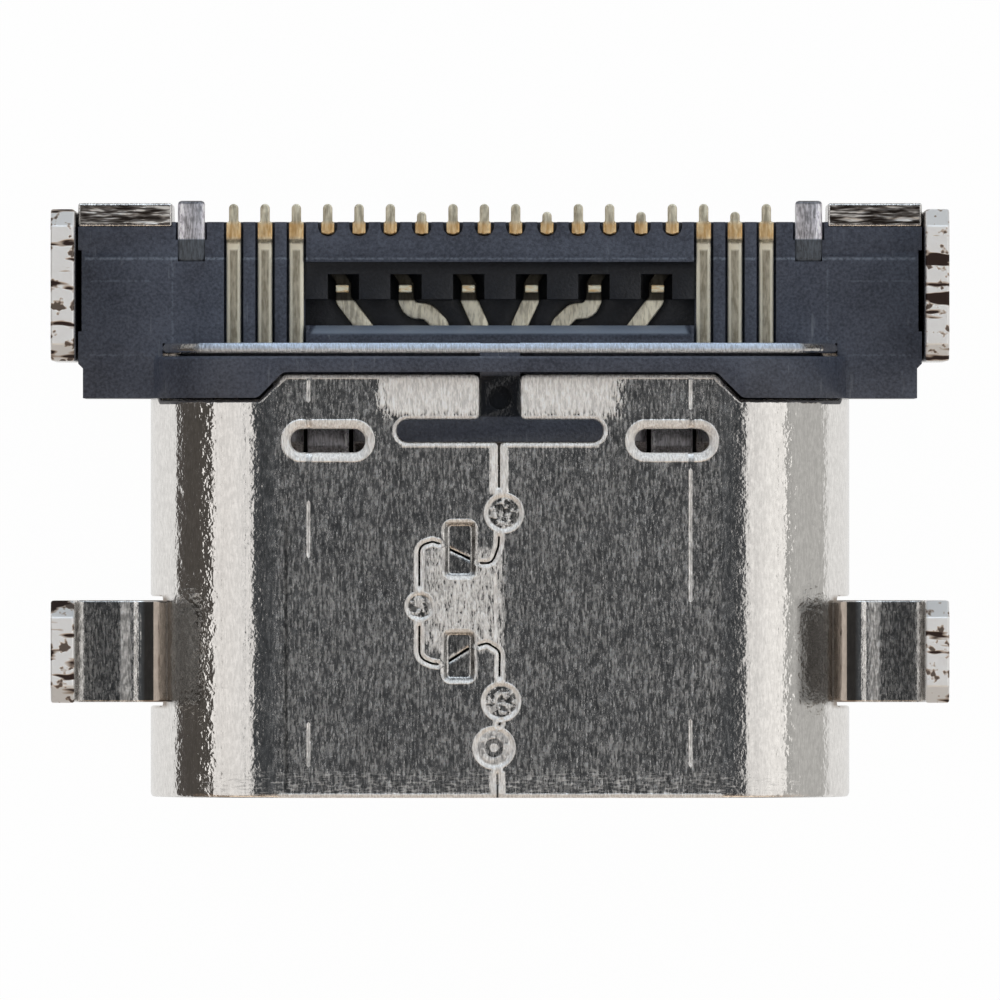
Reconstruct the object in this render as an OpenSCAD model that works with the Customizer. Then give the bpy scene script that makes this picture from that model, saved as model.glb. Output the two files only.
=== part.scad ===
// USB-C socket, sinking type, 18 contact tails and a mid plate.
//
// Frame: X across the socket, Y from the mouth towards the tails, Z towards the board.
// The origin is the middle of the mouth opening, in the plane of the shell's front edge.

/* [Shell] */
// outside width of the shell at the mouth
shell_w = 8.94; // [8.8:0.01:9.1]
// outside height of the shell
shell_h = 3.16; // [3.1:0.01:3.22]
// thickness of the folded sheet
sheet_t = 0.3; // [0.26:0.01:0.32]
// slit where the two edges of the folded sheet meet
seam_gap = 0.03; // [0.02:0.005:0.05]
// height of the dovetail's neck across the seam
dovetail_neck = 0.92; // [0.8:0.02:1.0]
// height of the dovetail's wide end
dovetail_end = 1.56; // [1.4:0.02:1.7]
// reach of the dovetail past the centre line
dovetail_reach = 1.026; // [0.9:0.01:1.1]
// distance of the dovetail's middle from the mouth
dovetail_y = 2.475; // [2.3:0.01:2.6]
// rounding of the dovetail's corners
dovetail_r = 0.16; // [0.1:0.01:0.2]
// depth of the coined pockets beside the seam
coin_depth = 0.06; // [0.03:0.01:0.1]
// depth of the round press spots along the seam
spot_depth = 0.02; // [0.01:0.005:0.04]

/* [T slot and windows] */
// width of the T slot's bar across the shell
tee_w = 2.62; // [2.4:0.01:2.8]
// width of the bar along the shell
tee_bar = 0.28; // [0.24:0.01:0.32]
// distance of the bar's front edge from the tube's rear edge
tee_l = 1.26; // [1.15:0.01:1.3]
// width of the T slot's stem
tee_stem = 0.51; // [0.4:0.01:0.6]
// rounding of the shell's two corners beside the stem
tee_r = 0.07; // [0.04:0.01:0.1]
// distance of each oval window from the centre line
window_x = 2.19; // [2.1:0.01:2.3]
// distance of the windows from the tube's rear edge
window_in = 1.245; // [1.15:0.005:1.3]
// length of a window
window_l = 0.95; // [0.85:0.01:1.0]
// width of a window
window_w = 0.3; // [0.24:0.01:0.34]
// width of the coined rim round a window
window_rim = 0.11; // [0.08:0.01:0.14]

/* [Wings and legs] */
// height of the seating plane over the shell's middle plane
seat_z = 0.7; // [0.66:0.01:0.74]
// half of the distance over the outer faces of the legs
leg_x = 5.715; // [5.7:0.005:5.75]
// height of the legs over the seating plane
leg_rise = 1; // [0.8:0.05:1.2]
// chamfer on the corners of the legs' tips
leg_tip = 0.2; // [0.1:0.05:0.3]
// distance of the front wings from the mouth
wing_y = 1.21; // [1.1:0.01:1.4]
// width of the front wings
wing_w = 1.3; // [1.2:0.01:1.4]
// radius of the wing's root bend
wing_root_r = 0.39; // [0.34:0.01:0.42]
// inner radius of the wing's outer bend
wing_bend_r = 0.12; // [0.1:0.01:0.16]
// width of the rear legs
rear_leg_w = 1.93; // [1.85:0.01:1.98]
// inner radius of the rear plate's folds
fold_r = 0.2; // [0.15:0.01:0.25]
// width of the flaps behind the housing's corners
flap_w = 1.2; // [1.1:0.01:1.25]
// how far the flaps stand out behind the block
flap_out = 0.24; // [0.2:0.01:0.26]
// how far the rear legs end short of the flaps' outer faces
leg_short = 0.09; // [0.05:0.01:0.15]

/* [Housing] */
// depth of the cavity, from the mouth to the housing's inner wall
cavity_l = 5.4; // [5.2:0.02:6]
// thickness of the wall that closes the cavity inside the tube
back_wall = 0.39; // [0.3:0.01:0.42]
// gap between the block and a rear leg
block_gap = 0.03; // [0.01:0.01:0.05]
// how far the block and the collar reach forward over the tube
block_lap = 0.7; // [0.6:0.01:0.75]
// thickness of the block behind the wafers
rear_wall = 0.44; // [0.42:0.01:0.5]
// thickness of the collar over the shell
collar_t = 0.1; // [0.08:0.01:0.14]
// how far the collar stops short of the tube's rear edge, which shows behind it
collar_short = 0.17; // [0.1:0.01:0.2]
// rounding of the collar's rear edge
collar_round = 0.04; // [0.02:0.01:0.06]
// how far the collar's front edge steps back between the shell's shoulders
collar_step = 0.33; // [0.25:0.01:0.36]
// half of the width of that step
collar_step_x = 2.756; // [2.7:0.002:2.8]
// rounding of the step's corners
collar_step_r = 0.12; // [0.05:0.01:0.2]
// radius of the ejector pin's mark on the T slot's filling
pin_r = 0.15; // [0.1:0.01:0.2]
// depth of that mark
pin_d = 0.08; // [0.04:0.01:0.1]
// depth of the shallow recess in each side of the block
side_recess = 0.045; // [0.02:0.005:0.06]
// length of that recess
side_recess_l = 1.04; // [0.9:0.02:1.2]
// distance of that recess from the block's rear face
side_recess_in = 0.36; // [0.3:0.02:0.45]
// chamfer on the block's front corners
front_chamfer = 0.06; // [0.03:0.01:0.1]
// length of the narrower front that the chamfer leads to
front_l = 0.44; // [0.3:0.02:0.46]
// how much lower the block is behind the ridge
ridge_d = 0.03; // [0.01:0.01:0.05]
// width of the opening over the inner contacts
recess_w = 4.98; // [4.9:0.02:5]
// distance from the tube's rear edge to the opening
recess_gap = 0.23; // [0.2:0.01:0.26]
// length of the opening
recess_l = 0.81; // [0.78:0.01:0.84]
// length of the ledge in front of the opening
ledge_l = 0.13; // [0.1:0.01:0.15]
// depth of the ledge under the seating plane
ledge_d = 0.22; // [0.15:0.01:0.25]
// chamfer on the ledge's front corners
ledge_chamfer = 0.12; // [0.05:0.01:0.13]
// width of the grooves and notches for the tails
groove_w = 0.25; // [0.23:0.01:0.27]
// depth of the grooves of the outer contacts
groove_d = 0.2; // [0.2:0.01:0.24]
// length of the tail notches in the rear edge
notch_l = 0.18; // [0.15:0.01:0.2]
// width of the notches for the mid plate's tails
plate_notch_w = 0.4; // [0.37:0.01:0.44]

/* [Tongue] */
// width of the tongue
tongue_w = 6.69; // [6.65:0.01:6.73]
// thickness of the tongue
tongue_h = 0.7; // [0.68:0.01:0.72]
// distance of the tongue's tip from the mouth
tongue_y = 0.45; // [0.4:0.01:0.6]
// length of the tongue's thick root
root_l = 0.9; // [0.85:0.01:0.95]
// thickness of the root
root_h = 1.1; // [1:0.01:1.2]
// thickness of the mid plate
plate_t = 0.15; // [0.12:0.01:0.16]
// distance of the mid plate's tails from the centre line
plate_tail_x = 3.94; // [3.9:0.01:3.98]
// width of the mid plate's tails
plate_tail_w = 0.345; // [0.3:0.005:0.36]
// length of the mid plate's tails past the block
plate_tail_l = 0.27; // [0.24:0.01:0.3]
// distance from the tongue's tip to the mid plate
plate_in = 0.3; // [0.2:0.01:0.4]
// distance from the tongue's tip to the latch notches
latch_in = 1.45; // [1.3:0.05:1.6]
// length of a latch notch
latch_l = 1; // [0.9:0.05:1.1]
// depth of a latch notch
latch_d = 0.28; // [0.2:0.01:0.3]
// thickness of the ground plates on the root
ground_t = 0.12; // [0.1:0.01:0.14]
// width of the ground plates
ground_w = 5.8; // [5.7:0.02:6]
// width of a ground plate's spring fingers
finger_w = 0.53; // [0.45:0.01:0.6]
// height of the fingers' crest over the middle plane
finger_z = 0.98; // [0.9:0.01:1.05]
// how far a finger's tip dips under its crest
finger_dip = 0.19; // [0.1:0.01:0.22]
// step round the tongue's tip
nose = 0.12; // [0.08:0.01:0.15]

/* [Contacts] */
// distance between neighbouring contacts on the tongue
contact_pitch = 0.5; // [0.5:0.01:0.5]
// width of a contact on the tongue
contact_w = 0.25; // [0.22:0.01:0.27]
// thickness of the contact strip
contact_t = 0.15; // [0.13:0.01:0.15]
// width of the strip between tongue and tail
strip_w = 0.19; // [0.17:0.01:0.21]
// distance of the contacts' tips from the tongue's tip
contact_in = 0.5; // [0.4:0.01:0.6]
// distance between neighbouring tails
tail_pitch = 0.4; // [0.4:0.01:0.4]
// width of a tail past the housing
tail_w = 0.12; // [0.1:0.01:0.14]
// width of the inner contacts where they show in the opening
reach_w = 0.21; // [0.18:0.01:0.24]
// inner radius of their bends
reach_r = 0.03; // [0.01:0.01:0.05]
// width of a tail in its notch
tail_base_w = 0.17; // [0.15:0.01:0.19]
// length of the tails past the block
tail_l = 0.23; // [0.18:0.01:0.28]
// how much shorter the short tails were cut
tail_trim = 0.1; // [0.05:0.01:0.12]

/* [Wafers] */
// width of the wafers
wafer_w = 7.24; // [7.2:0.02:7.3]
// how far the wafers reach behind the opening
wafer_over = 0.07; // [0.04:0.01:0.09]
// height of the near wafer's floor over the middle plane
floor_z = 0.25; // [0.24:0.01:0.28]
// height of the pocket bar over the middle plane
bar_z = 0.55; // [0.5:0.01:0.6]
// bare length of the contacts between the opening's front edge and the pocket bar
bare_l = 0.335; // [0.31:0.005:0.36]
// width of a pocket
pocket_w = 0.4; // [0.36:0.01:0.42]
// length of a pocket
pocket_l = 0.32; // [0.3:0.01:0.34]
// distance between neighbouring pockets
pocket_pitch = 0.8; // [0.8:0.01:0.8]

/* [Hidden] */
// the chain of places along Y, from the mouth back
tube_l = cavity_l + back_wall;
tee_y = tube_l - tee_l;
window_y = tube_l - window_in;
root_y = cavity_l - root_l;
contact_y = tongue_y + contact_in;
block_y = tube_l - block_lap;
collar_rear = tube_l - collar_short;
recess_y = tube_l + recess_gap;
bar_y = recess_y + bare_l;
recess_rear = recess_y + recess_l;
wafer_rear = recess_rear + wafer_over;
block_rear = wafer_rear + rear_wall;
flap_y = block_rear + flap_out;
rear_leg_y = flap_y - leg_short - rear_leg_w;
tail_end = block_rear + tail_l;

shell_r = shell_h / 2;
bore_r = shell_r - sheet_t;
shell_cx = shell_w / 2 - shell_r;
leg_in = leg_x - sheet_t;
block_w = 2 * (leg_in - block_gap);
rest_z = -shell_r;
plate_z = rest_z + sheet_t;
leg_top = seat_z + leg_rise;
// the wing leaves the shell where its root bend is tangent to the shell and to the seating plane
// and its arc starts a little inside the shell's surface, over a lap of the uncut wall
root_bite = 0.01;
root_lap = 8;
root_arm = shell_r + wing_root_r - root_bite;
root_a = asin((seat_z + wing_root_r) / root_arm);
wing_len = (wing_root_r + sheet_t / 2) * (90 - root_a) * PI / 180 + leg_in - shell_cx
           - root_arm * cos(root_a) + wing_bend_r + leg_top - seat_z;
// angle down the shell's side that the lanced wing came from
lance_a = wing_len / (shell_r - sheet_t / 2) * 180 / PI;
// clearance round what is lanced or folded out of the sheet
cut_gap = 0.05;
plate_front = tube_l + cut_gap;
flap_x = leg_in - block_gap - flap_w;
// the flaps' ends stay a little under the seating plane
flap_top = seat_z - 0.02;
collar_r = shell_r + collar_t;
tongue_z = tongue_h / 2;
contact_z = tongue_z - contact_t / 2;
tail_z = seat_z - contact_t / 2;
// the outer strips lie this deep in their grooves
strip_d = 0.08;
groove_z = tail_z - strip_d;
// distance kept between a strip's bend and the piece or edge before it
bend_gap = 0.05;
root_z = root_h / 2;
plate_y = tongue_y + plate_in;
plate_rear = wafer_rear - 2 * bend_gap;
latch_y = tongue_y + latch_in;
// distance kept between a tail's base and the end of its notch
notch_gap = 0.02;
short_tails = [7, 11, 14, 17];
near_n = 12;
far_n = 8;
eps = 0.01;
big = 20;
$fn = 96;

// ---- helpers ----

// direction along a segment
function along(a, b) = (b - a) / norm(b - a);
// offset direction at a corner of a path, long enough to keep the band's width
function miter(p, i) =
    let (a = i == 0 ? along(p[0], p[1]) : along(p[i - 1], p[i]),
         b = i == len(p) - 1 ? a : along(p[i], p[i + 1]),
         n = [-a.y - b.y, a.x + b.x] / norm(a + b))
    n / (n * [-a.y, a.x]);
// outline of a band of width w along a path
function band(p, w) = concat(
    [for (i = [0 : len(p) - 1]) p[i] + miter(p, i) * w / 2],
    [for (i = [len(p) - 1 : -1 : 0]) p[i] - miter(p, i) * w / 2]);
// the same path with its corners rounded
function eased(p, r, n = 4) = [for (i = [0 : len(p) - 1])
    each i == 0 || i == len(p) - 1 ? [p[i]] :
    let (a = along(p[i], p[i - 1]),
         b = along(p[i], p[i + 1]),
         h = acos(a * b) / 2,
         c = p[i] + along([0, 0], a + b) * r / sin(h),
         u = p[i] + a * r / tan(h) - c,
         v = p[i] + b * r / tan(h) - c)
    arc(c, r, atan2(u.y, u.x), atan2(u.y, u.x) + atan2(u.x * v.y - u.y * v.x, u * v), n)];
// points of an arc
function arc(c, r, a0, a1, n) = [for (i = [0 : n]) let (a = a0 + (a1 - a0) * i / n) c + r * [cos(a), sin(a)]];

// extrude an X-Z outline along Y, from y0 for a length l
module along_y(y0, l) {
    translate([0, y0 + l, 0]) rotate([90, 0, 0]) linear_extrude(l) children();
}

// extrude a Y-Z outline along X, from x0 for a length l
module along_x(x0, l) {
    translate([x0, 0, 0]) rotate([90, 0, 90]) linear_extrude(l) children();
}

// box between two corners
module box(a, b) {
    translate(a) cube(b - a);
}

module both_sides() {
    children();
    mirror([1, 0, 0]) children();
}

// rounded oval of the socket's section, with end radius r
module stadium(r) {
    for (s = [-1, 1]) translate([s * shell_cx, 0]) circle(r);
    square([2 * shell_cx, 2 * r], center = true);
}

// part of a ring between two angles less than half a turn apart
module ring_part(r0, r1, a0, a1) {
    m = (a0 + a1) / 2;
    k = 3 * r1;
    intersection() {
        difference() {
            circle(r1);
            circle(r0);
        }
        polygon([[0, 0], k * [cos(a0), sin(a0)], k * [cos(m), sin(m)], k * [cos(a1), sin(a1)]]);
    }
}

// slot with round ends, of length l across X
module slot2(l, w) {
    for (s = [-1, 1]) translate([s * (l - w) / 2, 0]) circle(w / 2);
    square([l - w, w], center = true);
}

// ---- shell ----

// T-shaped slot in the board side of the shell, with the shell's corners beside the stem rounded
module tee() {
    translate([0, tee_y + tee_bar / 2]) slot2(tee_w, tee_bar);
    translate([-tee_stem / 2, tee_y + tee_bar / 2]) square([tee_stem, tube_l - tee_y - tee_bar / 2]);
    for (s = [0, 1]) mirror([s, 0]) translate([tee_stem / 2, tee_y + tee_bar]) difference() {
        translate([-eps, -eps]) square(tee_r + eps);
        translate([tee_r, tee_r]) circle(tee_r);
    }
}

// centre line of the slit: straight, round a dovetail, straight again
seam_top = let (s = (dovetail_end - dovetail_neck) / 2 / dovetail_reach,
                a = atan(s),
                n = 5,
                r = dovetail_r,
                yo = dovetail_end / 2,
                yn = dovetail_neck / 2)
    concat(
        [[0, tee_y - dovetail_y + tee_bar / 2]],
        arc([-r, yn + r / cos(a) + r * tan(a)], r, 0, -90 - a, n),
        arc([-dovetail_reach + r, yo - r * (1 / cos(a) + tan(a))], r, 90 - a, 180, n));
seam_low = [for (i = [len(seam_top) - 1 : -1 : 1]) [seam_top[i].x, -seam_top[i].y]];
seam_path = [for (p = concat(seam_top, seam_low, [[0, -dovetail_y - eps]])) p + [0, dovetail_y]];

// round spots pressed along the seam: x, y, radius
spots = [[0.05, 3.62, 0.24], [-1.02, 2.44, 0.19], [0.01, 1.225, 0.24], [-0.077, 0.638, 0.27]];

// coined pockets where the slit crosses the dovetail's flanks: x, y of the middle, width, length
coins = [[-0.51, 3.16, 0.38, 0.7], [-0.51, 1.81, 0.38, 0.64]];

module shell_cuts() {
    translate([0, 0, bore_r - eps]) linear_extrude(sheet_t + 3 * eps) {
        polygon(band(seam_path, seam_gap));
        tee();
        translate([-tee_stem / 2, tube_l - eps]) square([tee_stem, 2 * eps]);
        for (s = [-1, 1]) translate([s * window_x, window_y]) slot2(window_l, window_w);
    }
    translate([0, 0, shell_r - coin_depth]) linear_extrude(coin_depth + eps) {
        for (s = [-1, 1]) translate([s * window_x, window_y])
            slot2(window_l + 2 * window_rim, window_w + 2 * window_rim);
        for (c = coins) translate([c.x - c[2] / 2, c.y - c[3] / 2]) square([c[2], c[3]]);
    }
    for (p = spots) translate([p.x, p.y, shell_r - spot_depth]) cylinder(r = p[2], h = spot_depth + eps);
}

// cuts the corners off the tip of a leg of width w that starts at y
module tip_cuts(y, w) {
    for (s = [-1, 1]) along_x(leg_in - 1, sheet_t + 2) translate([y + w / 2, leg_top]) polygon([
        [s * (w / 2 - leg_tip - eps), eps], [s * (w / 2 + eps), eps], [s * (w / 2 + eps), -leg_tip - eps]]);
}

// front wing: root bend, flat, outer bend and leg, lanced out of the shell's side
module wing() {
    root_c = [shell_cx + root_arm * cos(root_a), seat_z + wing_root_r];
    bend_c = [leg_in - wing_bend_r, seat_z + wing_bend_r];
    difference() {
        along_y(wing_y, wing_w) {
            translate(root_c) ring_part(wing_root_r, wing_root_r + sheet_t, 180 + root_a + root_lap, 270);
            translate([root_c.x, seat_z - sheet_t]) square([bend_c.x - root_c.x, sheet_t]);
            translate(bend_c) ring_part(wing_bend_r, wing_bend_r + sheet_t, 270, 360);
            translate([leg_in, bend_c.y]) square([sheet_t, leg_top - bend_c.y]);
        }
        tip_cuts(wing_y, wing_w);
    }
}

// opening that the wing leaves in the shell's side
module lance() {
    along_y(wing_y - cut_gap, wing_w + 2 * cut_gap) translate([shell_cx, 0])
        ring_part(bore_r - cut_gap, shell_r + cut_gap, root_a - lance_a, root_a - root_lap);
}

// rear side leg, folded up from the rear plate
module rear_leg() {
    difference() {
        along_y(rear_leg_y, rear_leg_w) {
            translate([leg_in - fold_r, plate_z + fold_r]) ring_part(fold_r, fold_r + sheet_t, 270, 360);
            translate([leg_in, plate_z + fold_r]) square([sheet_t, leg_top - plate_z - fold_r]);
        }
        tip_cuts(rear_leg_y, rear_leg_w);
    }
    box([shell_w / 2 + 2 * cut_gap, rear_leg_y, rest_z], [leg_in - fold_r, plate_front + eps, plate_z]);
}

// corner flap, folded up behind the housing; it widens towards the leg above the leg's fold
module flap() {
    in_y = flap_y - sheet_t;
    root_w = leg_in - fold_r - cut_gap - flap_x;
    along_x(flap_x, root_w) {
        translate([in_y - fold_r, plate_z + fold_r]) ring_part(fold_r, fold_r + sheet_t, 270, 360);
        translate([in_y, plate_z + fold_r]) square([sheet_t, flap_top - plate_z - fold_r]);
    }
    box([flap_x + root_w, in_y, plate_z + 2 * fold_r + cut_gap], [flap_x + flap_w, flap_y, flap_top]);
}

module rear_plate() {
    half_w = leg_in - fold_r;
    box([-shell_cx, tube_l, rest_z], [shell_cx, plate_front + eps, plate_z]);
    box([-half_w, plate_front, rest_z], [half_w, flap_y - sheet_t - fold_r, plate_z]);
    box([-flap_x + eps, plate_front, rest_z], [flap_x - eps, block_rear, plate_z]);
}

module shell() {
    color("silver") {
        difference() {
            along_y(0, tube_l) difference() {
                stadium(shell_r);
                stadium(bore_r);
            }
            shell_cuts();
            both_sides() lance();
        }
        rear_plate();
        both_sides() {
            wing();
            rear_leg();
            flap();
        }
    }
}

// ---- contacts ----

// centre lines seen from the board, from the tongue's tip to the tail; k counts outwards from the middle
function near_front(k) =
    let (t = (k - 0.5) * contact_pitch, p = (k - 0.5) * pocket_pitch, q = near_tail(k))
    concat(
        [[t, contact_y]],
        // the first goes straight over, the second in an S, the third starts under the collar
        k == 1 ? [[t, recess_y], [p, bar_y]] :
        k == 2 ? [[t, recess_y], [t + (p - t) * 0.4, recess_y + bare_l * 0.54],
                  [p - (p - t) * 0.14, recess_y + bare_l * 0.57], [p, bar_y]] :
        k == 3 ? [[t, cavity_l - bend_gap], [p, bar_y]] :
                 [[t, root_y + 4 * bend_gap], [q, tube_l - 2 * bend_gap]],
        [k <= 3 ? [p, bar_y + pocket_l - 2 * bend_gap] : [q, block_rear]]);
function near_back(k) =
    let (p = (k - 0.5) * pocket_pitch, q = near_tail(k))
    [[p, bar_y + pocket_l - 4 * bend_gap], [p, bar_y + pocket_l - 2 * bend_gap],
     [q, wafer_rear - bend_gap], [q, block_rear]];
function far_plan(k) =
    let (t = (k <= 3 ? k - 0.5 : near_n / 2 - 0.5) * contact_pitch)
    k <= 3 ? [[t, contact_y], [t, tube_l], [far_tail(k), bar_y], [far_tail(k), block_rear]]
           : [[t, contact_y], [t, tube_l - bend_gap]];

// places of the tails: the near and far contacts take turns in the middle, the outer three are all near ones
function near_tail(k) = (k <= 3 ? 2 * k - 0.5 : k + 2.5) * tail_pitch;
function far_tail(k) = (2 * k - 1.5) * tail_pitch;

// height of a far strip that lies against the mid plate
on_plate_z = -(plate_t + contact_t) / 2;

// the strips of the inner tails climb at the front of their notches
climb_y = block_rear - notch_l + 2 * bend_gap;

// heights of the strips' middle, along the same length
function near_side(k) = concat(
    [[contact_y, contact_z]],
    k <= 3 ? [[climb_y - 3 * bend_gap, contact_z], [climb_y, tail_z]]
           : [[cavity_l + bend_gap, contact_z], [tube_l, groove_z],
              [block_rear - notch_l - bend_gap, groove_z], [block_rear - notch_l, tail_z]],
    [[big, tail_z]]);
function far_side(k) = concat(
    [[contact_y, -contact_z]],
    k <= 3 ? [[climb_y - bend_gap, -contact_z], [climb_y, tail_z], [big, tail_z]]
           : [[cavity_l - 4 * bend_gap, -contact_z], [cavity_l, on_plate_z], [big, on_plate_z]]);

// strip that follows a plan line and a height line
module strip(plan, side, w) {
    intersection() {
        translate([0, 0, -big / 2]) linear_extrude(big) polygon(band(plan, w));
        along_x(-big / 2, big) polygon(band(side, contact_t));
    }
}

// tail: a wider base in its notch and a narrow end past the housing, both with round ends,
// numbered across all the tails
module tail(x, n) {
    cut = len(search(n, short_tails)) > 0 ? tail_trim : 0;
    base_r = tail_base_w / 2;
    base_y = block_rear - notch_l + notch_gap + base_r;
    tip_y = tail_end - cut - tail_w / 2;
    translate([x, 0, tail_z - contact_t / 2]) linear_extrude(contact_t) {
        translate([0, base_y]) circle(base_r);
        translate([-base_r, base_y]) square([tail_base_w, block_rear - base_y]);
        translate([-tail_w / 2, block_rear - eps]) square([tail_w, tip_y - block_rear + eps]);
        translate([0, tip_y]) circle(tail_w / 2);
    }
}

// number of a tail, counted over the 18 from the left
function tail_n(x) = round(x / tail_pitch + 9.5);

// near contact on the right-hand side, k from the middle outwards
module near_half(k, s) {
    t = near_front(k)[0].x;
    w = k <= 3 ? reach_w : strip_w;
    strip(eased(near_front(k), w / 2 + reach_r), near_side(k), w);
    if (k <= 3) strip(near_back(k), near_side(k), tail_base_w);
    box([t - contact_w / 2, contact_y, contact_z - contact_t / 2],
        [t + contact_w / 2, root_y + 2 * bend_gap, contact_z + contact_t / 2]);
    tail(near_tail(k), tail_n(s * near_tail(k)));
}

module near_contact(i) {
    s = i <= near_n / 2 ? -1 : 1;
    k = s < 0 ? near_n / 2 + 1 - i : i - near_n / 2;
    color("gold") mirror([s < 0 ? 1 : 0, 0, 0]) near_half(k, s);
}

module far_half(k, s) {
    t = far_plan(k)[0].x;
    strip(far_plan(k), far_side(k), tail_base_w);
    box([t - contact_w / 2, contact_y, -contact_z - contact_t / 2],
        [t + contact_w / 2, root_y + 2 * bend_gap, -contact_z + contact_t / 2]);
    if (k <= 3) tail(far_tail(k), tail_n(s * far_tail(k)));
}

module far_contact(i) {
    s = i <= far_n / 2 ? -1 : 1;
    k = s < 0 ? far_n / 2 + 1 - i : i - far_n / 2;
    color("gold") mirror([s < 0 ? 1 : 0, 0, 0]) far_half(k, s);
}

module all_contacts() {
    for (i = [1 : near_n]) near_contact(i);
    for (i = [1 : far_n]) far_contact(i);
}

// ---- mid plate and ground plates ----

module mid_plate() {
    half_w = tongue_w / 2;
    ear_in = plate_tail_x - plate_tail_w / 2;
    ear_out = plate_tail_x + plate_tail_w / 2;
    color("lightgray") {
        difference() {
            box([-half_w, plate_y, -plate_t / 2], [half_w, plate_rear, plate_t / 2]);
            both_sides() box([half_w - latch_d, latch_y, -plate_t], [half_w + 1, latch_y + latch_l, plate_t]);
        }
        both_sides() {
            box([half_w - eps, tube_l + cut_gap, -plate_t / 2], [ear_out, bar_y, plate_t / 2]);
            along_x(ear_in, plate_tail_w)
                polygon(band([[bar_y - cut_gap, 0], [plate_rear, 0], [wafer_rear, seat_z - plate_t / 2],
                              [block_rear + plate_tail_l, seat_z - plate_t / 2]], plate_t));
        }
    }
}

// cover of the tongue's root with two sprung fingers
module ground_plate() {
    flat_z = root_z + ground_t / 2;
    crest_z = finger_z - ground_t / 2;
    finger_root = cavity_l - 5 * cut_gap;
    color("lightgray") {
        difference() {
            along_x(-ground_w / 2, ground_w)
                polygon(band([[root_y - ground_t / 2, tongue_z + ground_t / 2],
                              [root_y + ground_t / 2, flat_z], [cavity_l, flat_z]], ground_t));
            for (s = [-1, 1]) translate([s * window_x, 0, 0])
                box([-finger_w / 2 - cut_gap, root_y - window_w, 0],
                    [finger_w / 2 + cut_gap, finger_root, root_z + 1]);
        }
        for (s = [-1, 1]) along_x(s * window_x - finger_w / 2, finger_w)
            polygon(band([[finger_root + cut_gap, flat_z], [finger_root - cut_gap, flat_z],
                          [window_y + cut_gap, crest_z], [window_y - cut_gap, crest_z],
                          [window_y - window_w, crest_z - finger_dip]], ground_t));
    }
}

// ---- mouldings ----

module tongue() {
    half_w = tongue_w / 2;
    thick_y = root_y + 1.5 * ground_t;
    color("#26262a") difference() {
        union() {
            box([-half_w, tongue_y + nose, -tongue_z], [half_w, thick_y + eps, tongue_z]);
            box([-half_w + nose, tongue_y, -tongue_z + nose],
                [half_w - nose, tongue_y + nose + eps, tongue_z - nose]);
            box([-half_w, thick_y, -root_z], [half_w, cavity_l, root_z]);
        }
        all_contacts();
        mid_plate();
        near_ground_plate();
        far_ground_plate();
    }
}

module near_ground_plate() {
    ground_plate();
}

module far_ground_plate() {
    mirror([0, 0, 1]) ground_plate();
}

module near_wafer_body() {
    half_w = wafer_w / 2;
    box([-half_w, cavity_l, 0], [half_w, wafer_rear, floor_z]);
    box([-recess_w / 2, bar_y, 0], [recess_w / 2, recess_rear, bar_z]);
}

module near_wafer() {
    color("#1f1f23") difference() {
        near_wafer_body();
        for (k = [-2.5 : 1 : 2.5]) translate([k * pocket_pitch, bar_y + pocket_l / 2, 0])
            box([-pocket_w / 2, -pocket_l / 2, plate_t], [pocket_w / 2, pocket_l / 2, bar_z + 1]);
        all_contacts();
        mid_plate();
    }
}

module far_wafer_body() {
    half_w = wafer_w / 2;
    box([-half_w, cavity_l, -root_z], [half_w, wafer_rear, 0]);
}

module far_wafer() {
    color("#1f1f23") difference() {
        far_wafer_body();
        near_wafer_body();
        all_contacts();
        mid_plate();
    }
}

// ramp that leads into the opening, with slanted ends
module ledge() {
    half_w = recess_w / 2 - cut_gap;
    y0 = recess_y - ledge_l;
    intersection() {
        along_x(-half_w, 2 * half_w)
            polygon([[y0, seat_z], [recess_y + eps, seat_z - ledge_d],
                     [recess_y + eps, seat_z + 1], [y0, seat_z + 1]]);
        linear_extrude(big)
            polygon([[-half_w, y0 - 1], [half_w, y0 - 1], [half_w, y0],
                     [half_w - ledge_chamfer, recess_y + 1], [ledge_chamfer - half_w, recess_y + 1],
                     [-half_w, y0]]);
    }
}

// what the block's sides lose: a shallow recess beside the rear leg and a narrower front
module side_cuts() {
    half_w = block_w / 2;
    side_y = block_rear - side_recess_in - side_recess_l;
    box([half_w - side_recess, side_y, plate_z - 1], [half_w + 1, side_y + side_recess_l, seat_z + 1]);
    translate([half_w, block_y, -big / 2]) linear_extrude(big)
        polygon([[-front_chamfer, -1], [1, -1], [1, front_l], [0, front_l],
                 [-front_chamfer, front_l - front_chamfer]]);
}

// rear block with the recess, the grooves and the notches
module block() {
    half_w = block_w / 2;
    difference() {
        box([-half_w, block_y, plate_z], [half_w, block_rear, seat_z]);
        box([-half_w - 1, wafer_rear, seat_z - ridge_d], [half_w + 1, block_rear + 1, seat_z + 1]);
        box([-recess_w / 2, recess_y, 0], [recess_w / 2, recess_rear, seat_z + 1]);
        ledge();
        both_sides() side_cuts();
        for (k = [1 : 3], s = [-1, 1]) {
            x = s * near_tail(k + 3);
            box([x - groove_w / 2, tube_l - cut_gap, seat_z - groove_d],
                [x + groove_w / 2, block_rear + 1, seat_z + 1]);
        }
        for (k = [0.5 : 5.5], s = [-1, 1]) {
            translate([s * k * tail_pitch, block_rear - notch_l + groove_w / 2, seat_z - groove_d - cut_gap])
                linear_extrude(1) {
                    circle(groove_w / 2);
                    translate([-groove_w / 2, 0]) square([groove_w, 1]);
                }
        }
        both_sides() translate([plate_tail_x, block_rear, seat_z])
            box([-plate_notch_w / 2, -notch_l - cut_gap, -groove_d - cut_gap], [plate_notch_w / 2, 1, 1]);
    }
}

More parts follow.
